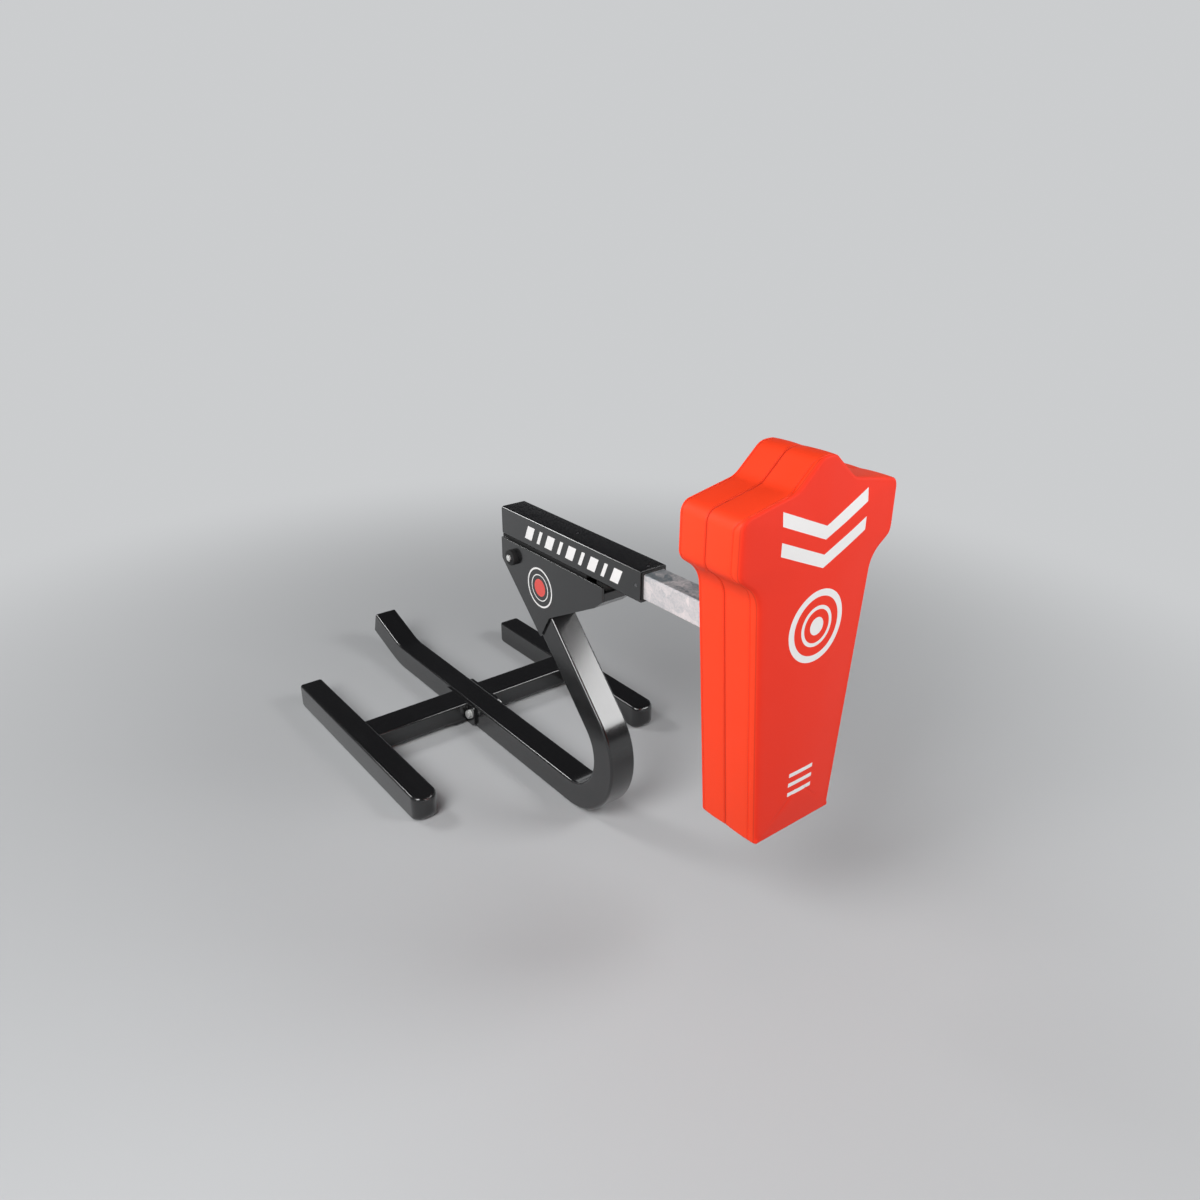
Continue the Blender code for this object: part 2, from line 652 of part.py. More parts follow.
def make_pivot_lug(finishes):
    """The lug under the housing and its two flanged bushes, which turn on the pivot bolt."""
    half_lug = GUSSET_INSIDE - BUSH_FLANGE_THICKNESS - 2 * GAP
    lug = plate_yz("pivot_lug", lug_outline(), -half_lug, half_lug, finishes["black_paint"])
    bush_bore = PIVOT_BOLT_RADIUS + RUNNING_GAP
    bush_outside = bush_bore + BUSH_WALL
    hole = straight_hole(-TUBE, TUBE, bush_outside + GAP)
    drill([lug], "bore", PIVOT, Vector((1.0, 0.0, 0.0)), hole)
    for name, side in (("pivot_bush_left", -1), ("pivot_bush_right", 1)):
        inward = Vector((-side, 0.0, 0.0))
        origin = PIVOT - inward * (GUSSET_INSIDE - GAP)
        profile = [(0.0, bush_bore), (0.0, BUSH_FLANGE_RADIUS),
                   (BUSH_FLANGE_THICKNESS, BUSH_FLANGE_RADIUS),
                   (BUSH_FLANGE_THICKNESS, bush_outside), (BUSH_LENGTH, bush_outside),
                   (BUSH_LENGTH, bush_bore)]
        turned(name, origin, inward, profile, finishes["black_plastic"], bored=True)


# Housing, its linings and the spring

def screw_profile(extra):
    """A countersunk screw from its flush head inwards; extra widens it for the hole."""
    depth = HOUSING_WALL + GAP + SLEEVE_SCREW_BITE
    head = SLEEVE_SCREW_HEAD_RADIUS + extra
    shank = SLEEVE_SCREW_RADIUS + extra
    return head, shank, depth + extra


def make_sleeve_screws(finishes, housing, front_sleeve, rear_sleeve):
    """Flush screws that hold the linings."""
    front_y = MOUTH + SLEEVE_SCREW_FROM_MOUTH
    rear_y = MOUTH + REAR_SLEEVE_FROM_MOUTH
    centre = Vector((0.0, 0.0, ARM_HEIGHT))
    screws = [("sleeve_screw_top", front_y, Vector((0.0, 0.0, -1.0)), front_sleeve),
              ("sleeve_screw_left", front_y, Vector((1.0, 0.0, 0.0)), front_sleeve),
              ("sleeve_screw_right", front_y, Vector((-1.0, 0.0, 0.0)), front_sleeve),
              ("sleeve_screw_mid", rear_y, Vector((0.0, 0.0, -1.0)), rear_sleeve)]
    for name, y, inward, sleeve in screws:
        origin = centre + Vector((0.0, y, 0.0)) - inward * HOUSING / 2
        head, shank, depth = screw_profile(0.0)
        turned(name, origin, inward,
               [(GAP, head), (GAP + SLEEVE_SCREW_HEAD_HEIGHT, shank), (depth, shank)],
               finishes["zinc"])
        head, shank, depth = screw_profile(GAP)
        slope = (head - shank) / SLEEVE_SCREW_HEAD_HEIGHT
        lead = SLEEVE_SCREW_HOLE_LEAD
        hole = [(-lead, head + lead * slope), (GAP + SLEEVE_SCREW_HEAD_HEIGHT, shank), (depth, shank)]
        drill([housing, sleeve], name, origin, inward, hole)


def make_housing(finishes):
    """The square housing with its end plate, linings and screws."""
    section = wall_loops(HOUSING, HOUSING, HOUSING_CORNER, HOUSING_WALL)
    tube_end = HOUSING_REAR - END_PLATE_THICKNESS - GAP
    housing = tube_along_y("arm_housing", section, MOUTH, tube_end, 0.0, ARM_HEIGHT,
                           finishes["black_paint"])
    loop = rectangle(HOUSING, HOUSING, HOUSING_CORNER)
    block_along_y("housing_end_plate", [(tube_end + GAP, loop), (HOUSING_REAR, loop)], 0.0,
                  ARM_HEIGHT, finishes["black_paint"])

    lining = 2 * (HOUSING_BORE - GAP)
    lining_bore = ARM + 2 * RUNNING_GAP
    section = (rectangle(lining, lining, inner_corner(HOUSING_CORNER, HOUSING_WALL) + GAP),
               rectangle(lining_bore, lining_bore, ARM_CORNER))
    front_start = MOUTH - SLEEVE_LIP
    rear_start = MOUTH + REAR_SLEEVE_FROM_MOUTH - SLEEVE_LENGTH / 2
    sleeves = [tube_along_y(name, section, start, start + SLEEVE_LENGTH, 0.0, ARM_HEIGHT,
                            finishes["black_plastic"])
               for name, start in (("wear_sleeve_front", front_start), ("wear_sleeve_rear", rear_start))]
    make_sleeve_screws(finishes, housing, *sleeves)


def block_shoulder_face():
    """Where the end block's shoulder rests on the rear lining."""
    return MOUTH + REAR_SLEEVE_FROM_MOUTH + SLEEVE_LENGTH / 2 + GAP


def spring_seat_face():
    """The face of the seat that the spring pushes on."""
    return HOUSING_REAR - END_PLATE_THICKNESS - 2 * GAP - SEAT_THICKNESS


def spring_points():
    """The spring's centre line: closed end turns and evenly pitched turns between them."""
    start = block_shoulder_face() + BLOCK_SHOULDER + GAP + SPRING_WIRE / 2
    end = spring_seat_face() - GAP - SPRING_WIRE / 2
    turns = SPRING_ACTIVE_TURNS + 2
    pitch = (end - start - 2 * SPRING_END_PITCH) / SPRING_ACTIVE_TURNS
    points = []
    for i in range(turns * SPRING_POINTS_PER_TURN + 1):
        turn = i / SPRING_POINTS_PER_TURN
        active = min(max(turn - 1.0, 0.0), SPRING_ACTIVE_TURNS)
        y = start + SPRING_END_PITCH * (turn - active) + pitch * active
        angle = 2 * pi * turn
        points.append(Vector((SPRING_MEAN_RADIUS * cos(angle), y,
                              ARM_HEIGHT + SPRING_MEAN_RADIUS * sin(angle))))
    return points


def least_spring_gap(points):
    """The least free distance between turns of the spring, in metres."""
    half_turn = SPRING_POINTS_PER_TURN // 2
    least = min((a - b).length for i, a in enumerate(points) for b in points[i + half_turn:])
    return least - SPRING_WIRE


def make_spring(finishes):
    """The spring seat, whose post is the recoil's stop inside the spring, and the spring."""
    flat = 2 * (HOUSING_BORE - BLOCK_CLEARANCE)
    face = spring_seat_face()
    square = rectangle(flat, flat, ARM_CORNER)
    post_radius = SPRING_MEAN_RADIUS - SPRING_WIRE / 2 - SEAT_POST_CLEARANCE
    post = [p.normalized() * post_radius for p in square]
    post_end = block_shoulder_face() + BLOCK_SHOULDER + ARM_RECOIL + GAP
    stations = [(face + SEAT_THICKNESS, square), (face, square), (face, post), (post_end, post)]
    block_along_y("spring_seat", stations, 0.0, ARM_HEIGHT, finishes["black_plastic"])

    points = spring_points()
    curve = bpy.data.curves.new("recoil_spring", "CURVE")
    curve.dimensions = "3D"
    curve.bevel_depth = SPRING_WIRE / 2
    curve.bevel_resolution = 1
    curve.use_fill_caps = True
    curve.materials.append(finishes["spring_steel"])
    spline = curve.splines.new("POLY")
    spline.points.add(len(points) - 1)
    for place, point in zip(spline.points, points):
        place.co = (*point, 1.0)
    spring = bpy.data.objects.new("recoil_spring", curve)
    bpy.context.scene.collection.objects.link(spring)
    print(f"recoil_spring: least gap between turns {least_spring_gap(points) * 1000:.2f} mm")


# Arm

def make_arm(finishes):
    """The galvanised arm, the block in its inner end and the plate on its outer end."""
    inner_end = MOUTH + REAR_SLEEVE_FROM_MOUTH + SLEEVE_LENGTH / 2
    plate_rear = PAD_BACK + GAP + PLATE_THICKNESS
    section = wall_loops(ARM, ARM, ARM_CORNER, ARM_WALL)
    tube_along_y("arm_tube", section, plate_rear + GAP, inner_end, 0.0, ARM_HEIGHT,
                 finishes["galvanised"])

    shoulder = block_shoulder_face()
    wide = 2 * (HOUSING_BORE - BLOCK_CLEARANCE)
    narrow = ARM - 2 * ARM_WALL - 2 * GAP
    wide_loop = rectangle(wide, wide, ARM_CORNER)
    narrow_loop = rectangle(narrow, narrow, ARM_CORNER / 2)
    stations = [(shoulder + BLOCK_SHOULDER, wide_loop), (shoulder, wide_loop),
                (shoulder, narrow_loop), (shoulder - BLOCK_SPIGOT, narrow_loop)]
    block_along_y("arm_end_block", stations, 0.0, ARM_HEIGHT, finishes["black_plastic"])


# Pad

def inset_corners(corners, distance):
    """Move the straight sides of a counter-clockwise outline inwards; its arcs shrink or grow."""
    moved = []
    count = len(corners)
    for i, (x, z, radius) in enumerate(corners):
        corner = Vector((x, z))
        before = (corner - Vector(corners[i - 1][:2])).normalized()
        after = (Vector(corners[(i + 1) % count][:2]) - corner).normalized()
        inward = Vector((-before.y - after.y, before.x + after.x)).normalized()
        place = corner + inward * distance / inward.dot(Vector((-after.y, after.x)))
        convex = before.x * after.y - before.y * after.x > 0.0
        arc = radius - distance if convex else radius + distance
        moved.append((place.x, place.y, max(arc, PAD_LEAST_CORNER) if radius > 0.0 else 0.0))
    return moved


def pad_outline(inset=0.0):
    """The pad's outline seen from the front: narrow body, broad shoulders and a low head."""
    half = [(PAD_BOTTOM_HALF, 0.0, PAD_BOTTOM_CORNER),
            (PAD_NECK_HALF, PAD_NECK_HEIGHT, PAD_NECK_FILLET),
            (PAD_SHOULDER_HALF, PAD_SHOULDER_BOTTOM, PAD_SHOULDER_BOTTOM_CORNER),
            (PAD_SHOULDER_HALF, PAD_SHOULDER_TOP, PAD_SHOULDER_TOP_CORNER),
            (PAD_HEAD_FOOT_HALF, PAD_HEAD_FOOT_HEIGHT, PAD_HEAD_FOOT_FILLET),
            (PAD_HEAD_HALF, PAD_HEAD_HEIGHT, PAD_HEAD_CORNER)]
    corners = half + [(0.0, PAD_HEIGHT, 0.0)] + [(-x, z, radius) for x, z, radius in reversed(half)]
    outline = rounded_outline(inset_corners(corners, inset), PAD_STEP)
    return [Vector((p.x, PAD_BOTTOM + p.y)) for p in outline]


def towards_spine(outline, share):
    """Draw an outline towards the pad's upright middle line by a share of the way."""
    low, high = PAD_BOTTOM + PAD_SPINE_LOW, PAD_BOTTOM + PAD_SPINE_HIGH
    moved = []
    for point in outline:
        middle = Vector((0.0, min(max(point.y, low), high)))
        moved.append(point.lerp(middle, share))
    return moved


def pad_ring(outline, y):
    """The outline as a ring of points at one depth."""
    return [Vector((p.x, y, p.y)) for p in outline]


def pad_edge_rings(face, towards, skin):
    """Rings from the seam to the rim of a face; towards is +1 if the seam lies at higher Y."""
    steps = [(SEAM - towards * GAP / 2, PAD_SEAM_DRAW + skin), (SEAM - towards * PAD_SEAM_PUFF, skin)]
    reach = PAD_EDGE - skin
    for angle in (0.0, pi / 4, pi / 2):
        steps.append((face + towards * (skin + reach * (1 - sin(angle))),
                      skin + reach * (1 - cos(angle))))
    return [pad_ring(pad_outline(inset), y) for y, inset in steps]


def pad_front_rings(skin):
    """Rings of the front half, from the seam to the middle of the crowned face."""
    rings = pad_edge_rings(PAD_FACE, 1.0, skin)
    rim = pad_outline(PAD_EDGE)
    for share in PAD_CROWN_SHARES:
        rise = PAD_CROWN * sin(share / PAD_CROWN_SHARES[-1] * pi / 2)
        rings.append(pad_ring(towards_spine(rim, share), PAD_FACE - rise + skin))
    return rings


def pad_rear_rings(skin):
    """Rings of the rear half, from the seam to the flat back."""
    return pad_edge_rings(PAD_BACK, -1.0, skin)


def pad_screw_places():
    """Where the four pad screws go through the mounting plate."""
    for level, z in (("lower", -PAD_SCREW_RISE), ("upper", PAD_SCREW_RISE)):
        for side, x in (("left", -PAD_SCREW_SIDE), ("right", PAD_SCREW_SIDE)):
            yield f"pad_screw_{level}_{side}", Vector((x, 0.0, ARM_HEIGHT + z))


def make_pad(finishes):
    """The cover's two halves, the foam, the board and the plate and screws that hold them."""
    loft("pad_front_cover", pad_front_rings(0.0)[::-1] + pad_front_rings(PAD_SKIN),
         finishes["vinyl_face"])
    rear_cover = loft("pad_rear_cover", pad_rear_rings(0.0)[::-1] + pad_rear_rings(PAD_SKIN),
                      finishes["vinyl_side"])

    inside = PAD_SKIN + GAP
    board_rear = PAD_BACK - inside
    board_front = board_rear - BOARD_THICKNESS
    board = plate_xz("pad_backboard", pad_outline(BOARD_INSET), board_rear, board_front,
                     finishes["plywood"])
    pocket = pad_outline(BOARD_INSET - GAP)
    rings = [pad_ring(pocket, board_front - GAP), pad_ring(pocket, board_rear)]
    rings += pad_rear_rings(inside)[::-1] + pad_front_rings(inside)[1:]
    loft("pad_foam", rings, finishes["foam"])

    loop = rectangle(PLATE_WIDTH, PLATE_HEIGHT, PLATE_CORNER)
    plate = block_along_y("pad_mount_plate",
                          [(PAD_BACK + GAP, loop), (PAD_BACK + GAP + PLATE_THICKNESS, loop)],
                          0.0, ARM_HEIGHT, finishes["galvanised"])
    along = Vector((0.0, -1.0, 0.0))
    length = PLATE_THICKNESS + PAD_SKIN + 3 * GAP + PAD_SCREW_BITE
    for name, place in pad_screw_places():
        origin = place + Vector((0.0, PAD_BACK + PLATE_THICKNESS + 2 * GAP, 0.0))
        hex_bolt(name, origin, along, PAD_SCREW_RADIUS, length, PAD_SCREW_HEX,
                 PAD_SCREW_HEAD_HEIGHT, finishes["zinc"])
        hole = straight_hole(-PLATE_THICKNESS, length + GAP, PAD_SCREW_RADIUS + GAP)
        drill([plate, rear_cover, board], name, origin, along, hole)


# Crossbars, flanges and braces

def flange_bolt_places():
    """The two bolts through the flanges, ahead of and behind the crossbars."""
    return (("front", CROSSBAR_Y - FLANGE_BOLT_SPREAD), ("rear", CROSSBAR_Y + FLANGE_BOLT_SPREAD))


def make_crossbars(finishes):
    """Rectangular tubes from the flanges to the side runners, with a brace under each."""
    outer, inner = wall_loops(CROSSBAR_DEPTH, CROSSBAR_HEIGHT, TUBE_CORNER, CROSSBAR_WALL)
    centre_z = CROSSBAR_TOP - CROSSBAR_HEIGHT / 2
    brace_front = CROSSBAR_Y - CROSSBAR_DEPTH / 2 + TUBE_CORNER
    inner_x = FLANGE_OUTSIDE + GAP
    outer_x = RUNNER_CENTRE - RUNNER_WIDTH / 2 - GAP
    brace_top = CROSSBAR_TOP - CROSSBAR_HEIGHT - GAP
    for side, sign in (("left", -1), ("right", 1)):

        def ring(loop, x):
            return [Vector((sign * x, CROSSBAR_Y + p.x, centre_z + p.y)) for p in loop]

        rings = [ring(outer, inner_x), ring(outer, outer_x), ring(inner, outer_x), ring(inner, inner_x)]
        loft(f"crossbar_{side}", rings, finishes["black_paint"], joined=True)
        brace = [(inner_x, brace_top), (inner_x, brace_top - BRACE_DROP),
                 (inner_x + BRACE_FLAT, brace_top - BRACE_DROP), (inner_x + BRACE_LENGTH, brace_top)]
        outline = [Vector((sign * x, z)) for x, z in brace]
        plate_xz(f"brace_{side}", outline, brace_front, brace_front + BRACE_THICKNESS,
                 finishes["black_paint"])


def make_flanges(finishes):
    """Plates on both sides of the skid, and the bolts, washers and nuts through them."""
    front, rear = CROSSBAR_Y - FLANGE_LENGTH / 2, CROSSBAR_Y + FLANGE_LENGTH / 2
    outline = rounded_outline([(front, FLANGE_BOTTOM, FLANGE_CORNER), (rear, FLANGE_BOTTOM, FLANGE_CORNER),
                               (rear, FLANGE_TOP, FLANGE_CORNER), (front, FLANGE_TOP, FLANGE_CORNER)],
                              CORNER_STEP)
    flanges = [plate_yz(name, outline, sign * FLANGE_INSIDE, sign * FLANGE_OUTSIDE,
                        finishes["black_paint"])
               for name, sign in (("flange_left", -1), ("flange_right", 1))]
    along = Vector((1.0, 0.0, 0.0))
    bore = FLANGE_BOLT_RADIUS + GAP
    seat = FLANGE_OUTSIDE + WASHER_THICKNESS + 2 * GAP
    length = 2 * seat + FLANGE_NUT_HEIGHT + THREAD_PAST_NUT
    for place, bolt_y in flange_bolt_places():
        centre = Vector((0.0, bolt_y, FLANGE_BOLT_HEIGHT))
        drill(flanges, f"hole_{place}", centre, along, straight_hole(-TUBE, TUBE, bore))
        for side, sign in (("left", -1), ("right", 1)):
            outward = Vector((sign, 0.0, 0.0))
            round_ring(f"flange_washer_{place}_{side}", centre + outward * (FLANGE_OUTSIDE + GAP),
                       outward, bore, WASHER_RADIUS, WASHER_THICKNESS, GAP, finishes["zinc"])
        hex_bolt(f"flange_bolt_{place}", centre - along * seat, along, FLANGE_BOLT_RADIUS, length,
                 FLANGE_HEX, FLANGE_HEAD_HEIGHT, finishes["zinc"])
        hex_nut(f"flange_nut_{place}", centre + along * seat, along, bore, FLANGE_NUT_HEIGHT,
                FLANGE_HEX, finishes["zinc"])


# Side runners

def end_piece(name, centre_x, joint, tip, plan_corner, bottom_curve, top_bevel, material):
    """A runner's rounded end, built in level layers from the ground up."""
    direction = 1.0 if tip > joint else -1.0
    arc = [radians(angle) for angle in (0.0, 22.5, 45.0, 67.5, 90.0)]
    levels = [(bottom_curve * (1 - sin(a)), bottom_curve * (1 - cos(a))) for a in reversed(arc)]
    levels.append((RUNNER_HEIGHT - top_bevel, 0.0))
    levels.append((RUNNER_HEIGHT, top_bevel))
    rings = []
    for z, set_back in levels:
        from_edge = min(z, RUNNER_HEIGHT - z)
        side = max(RUNNER_CORNER - from_edge, 0.0)
        drawn_in = RUNNER_CORNER - (RUNNER_CORNER ** 2 - side ** 2) ** 0.5
        half = RUNNER_WIDTH / 2 - drawn_in
        front = tip - direction * set_back
        outline = rounded_outline([(half, joint, 0.0), (half, front, plan_corner),
                                   (-half, front, plan_corner), (-half, joint, 0.0)], CORNER_STEP)
        rings.append([Vector((centre_x + p.x, p.y, z)) for p in outline])
    return loft(name, rings, material)


def make_runners(finishes):
    """Two side runners, each a tube with a rounded nose and a tail piece."""
    section = wall_loops(RUNNER_WIDTH, RUNNER_HEIGHT, RUNNER_CORNER, RUNNER_WALL)
    nose_joint = RUNNER_FRONT + NOSE_LENGTH
    tail_joint = RUNNER_REAR - TAIL_PIECE_LENGTH
    for side, sign in (("left", -1), ("right", 1)):
        centre_x = sign * RUNNER_CENTRE
        tube_along_y(f"runner_{side}", section, nose_joint + GAP, tail_joint - GAP, centre_x,
                     RUNNER_HEIGHT / 2, finishes["black_paint"])
        end_piece(f"runner_nose_{side}", centre_x, nose_joint, RUNNER_FRONT, NOSE_PLAN_CORNER,
                  NOSE_BOTTOM_CURVE, NOSE_TOP_BEVEL, finishes["black_paint"])
        end_piece(f"runner_tail_{side}", centre_x, tail_joint, RUNNER_REAR, TAIL_PLAN_CORNER,
                  TAIL_BOTTOM_CURVE, TAIL_TOP_BEVEL, finishes["black_paint"])


# Bodies: what tilts hangs on the pivot's empty, what slides hangs on the arm's

HOUSING_PIECES = ("arm_housing", "housing_end_plate", "pivot_lug", "pivot_bush", "wear_sleeve",
                  "sleeve_screw", "spring_seat", "recoil_spring")
ARM_PIECES = ("arm_tube", "arm_end_block", "pad_")


def hang_moving_pieces():
    """Parent each moving piece to an empty on its joint's axis, without moving it."""
    pivot = bpy.data.objects.new("arm_lift_axis", None)
    pivot.location = PIVOT
    slide = bpy.data.objects.new("arm_recoil_axis", None)
    slide.parent = pivot
    slide.location = Vector((0.0, MOUTH, ARM_HEIGHT)) - PIVOT
    for empty in (pivot, slide):
        bpy.context.scene.collection.objects.link(empty)
    bpy.context.view_layer.update()
    for piece in list(bpy.context.scene.objects):
        if piece.name.startswith(ARM_PIECES):
            carrier = slide
        elif piece.name.startswith(HOUSING_PIECES):
            carrier = pivot
        else:
            continue
        piece.parent = carrier
        piece.matrix_parent_inverse = carrier.matrix_world.inverted()


def main():
    for old in list(bpy.data.objects):
        bpy.data.objects.remove(old, do_unlink=True)
    finishes = make_finishes()
    make_main_skid(finishes)
    make_tube_caps(finishes)
    make_gusset_plates(finishes)
    make_stop(finishes)
    make_pivot_hardware(finishes)
    make_pivot_lug(finishes)
    make_housing(finishes)
    make_spring(finishes)
    make_arm(finishes)
    make_pad(finishes)
    make_crossbars(finishes)
    make_flanges(finishes)
    make_runners(finishes)
    hang_moving_pieces()
    print(f"pivot at Y {PIVOT.y:.5f} Z {PIVOT.z:.5f}, arm line at Z {ARM_HEIGHT:.4f}, "
          f"lift limit {degrees(LIFT_LIMIT):.0f} degrees, recoil {ARM_RECOIL * 1000:.0f} mm")
    print(f"bend centre at Y {BEND_Y:.4f}, mouth at Y {MOUTH:.4f}, pad back at Y {PAD_BACK:.4f}, "
          f"pad bottom at Z {PAD_BOTTOM:.4f}")


main()
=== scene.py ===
# %% [markdown]
# # A one-man football blocking sled
# A player drives into the tall pad. The pad sits on a galvanised arm, the arm slides in a black
# housing against a spring, and the housing tilts on a bolt at the top of a bent steel skid.
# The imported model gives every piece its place. This script gives the pieces their looks: fine
# shapes where the light catches them, and a finish for each material.

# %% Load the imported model
import json
from math import atan2, ceil, cos, pi, radians, sin, sqrt, tan

import bmesh
import bpy
from mathutils import Matrix, Vector


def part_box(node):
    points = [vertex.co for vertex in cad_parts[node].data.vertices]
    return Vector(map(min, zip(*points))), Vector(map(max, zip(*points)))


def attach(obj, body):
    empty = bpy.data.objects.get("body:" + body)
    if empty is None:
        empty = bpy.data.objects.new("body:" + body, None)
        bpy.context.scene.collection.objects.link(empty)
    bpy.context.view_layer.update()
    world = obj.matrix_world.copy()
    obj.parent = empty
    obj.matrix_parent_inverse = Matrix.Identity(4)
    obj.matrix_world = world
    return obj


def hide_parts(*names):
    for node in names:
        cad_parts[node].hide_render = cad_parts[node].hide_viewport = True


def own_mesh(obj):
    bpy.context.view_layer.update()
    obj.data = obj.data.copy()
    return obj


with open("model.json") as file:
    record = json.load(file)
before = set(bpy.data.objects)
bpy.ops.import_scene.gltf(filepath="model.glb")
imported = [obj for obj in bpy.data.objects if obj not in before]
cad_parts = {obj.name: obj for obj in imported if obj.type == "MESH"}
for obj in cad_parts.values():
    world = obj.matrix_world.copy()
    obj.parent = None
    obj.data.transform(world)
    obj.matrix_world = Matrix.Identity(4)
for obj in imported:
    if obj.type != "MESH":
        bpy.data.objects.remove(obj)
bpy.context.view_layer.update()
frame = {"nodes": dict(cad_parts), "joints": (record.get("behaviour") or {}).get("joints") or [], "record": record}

PIVOT = Vector(frame["joints"][0]["pos_m"])

# %% [markdown]
# ## The camera
# The photograph was taken from the sled's left front, a little over two metres up. The lens and
# the place were worked out from straight edges of the skid and the housing. Turning a camera
# about the upright axis first, then tilting it, then rolling it keeps the three angles separate.

# %% Place the camera
SENSOR_WIDTH = 36.0
LENS = 28.402
CAMERA_PLACE = Vector((-1.6937, -2.5843, 2.0724))
CAMERA_AZIMUTH = radians(-37.967)
CAMERA_ELEVATION = radians(24.339)
CAMERA_ROLL = radians(0.185)


def place_camera():
    """A camera with a full-frame sensor, looking at the sled as the photographer did."""
    data = bpy.data.cameras.new("camera")
    data.sensor_width = SENSOR_WIDTH
    data.lens = LENS
    camera = bpy.data.objects.new("camera", data)
    bpy.context.scene.collection.objects.link(camera)
    camera.matrix_world = (Matrix.Translation(CAMERA_PLACE)
                           @ Matrix.Rotation(CAMERA_AZIMUTH, 4, "Z")
                           @ Matrix.Rotation(pi / 2 - CAMERA_ELEVATION, 4, "X")
                           @ Matrix.Rotation(CAMERA_ROLL, 4, "Z"))
    bpy.context.scene.camera = camera
    return camera


camera = place_camera()
print("camera looks along", [round(v, 3) for v in camera.matrix_world.to_3x3() @ Vector((0, 0, -1))])

# %% [markdown]
# ## Shader maths in plain Python
# A procedural finish is a graph of nodes. Written node by node it is hard to read, so one small
# class wraps an output socket and lets Python's operators add the Math nodes. A second class
# holds one material and has a single method that adds any other kind of node.

# %% A socket that does arithmetic


class Wire:
    """A number that varies over a surface."""

    def __init__(self, finish, socket):
        self.finish = finish
        self.socket = socket

    def maths(self, operation, *operands):
        return self.finish.node("ShaderNodeMath", {"operation": operation}, list(operands))

    def __add__(self, other):
        return self.maths("ADD", self, other)

    def __radd__(self, other):
        return self.maths("ADD", other, self)

    def __sub__(self, other):
        return self.maths("SUBTRACT", self, other)

    def __rsub__(self, other):
        return self.maths("SUBTRACT", other, self)

    def __mul__(self, other):
        return self.maths("MULTIPLY", self, other)

    def __rmul__(self, other):
        return self.maths("MULTIPLY", other, self)

    def __truediv__(self, other):
        return self.maths("DIVIDE", self, other)

    def __abs__(self):
        return self.maths("ABSOLUTE", self)

    def root(self):
        return self.maths("SQRT", self)

    def sine(self):
        return self.maths("SINE", self)

    def clamped(self):
        return self.maths("MINIMUM", self.maths("MAXIMUM", self, 0.0), 1.0)

    def at_least(self, other):
        return self.maths("MAXIMUM", self, other)


# %% A material that is built as it is described


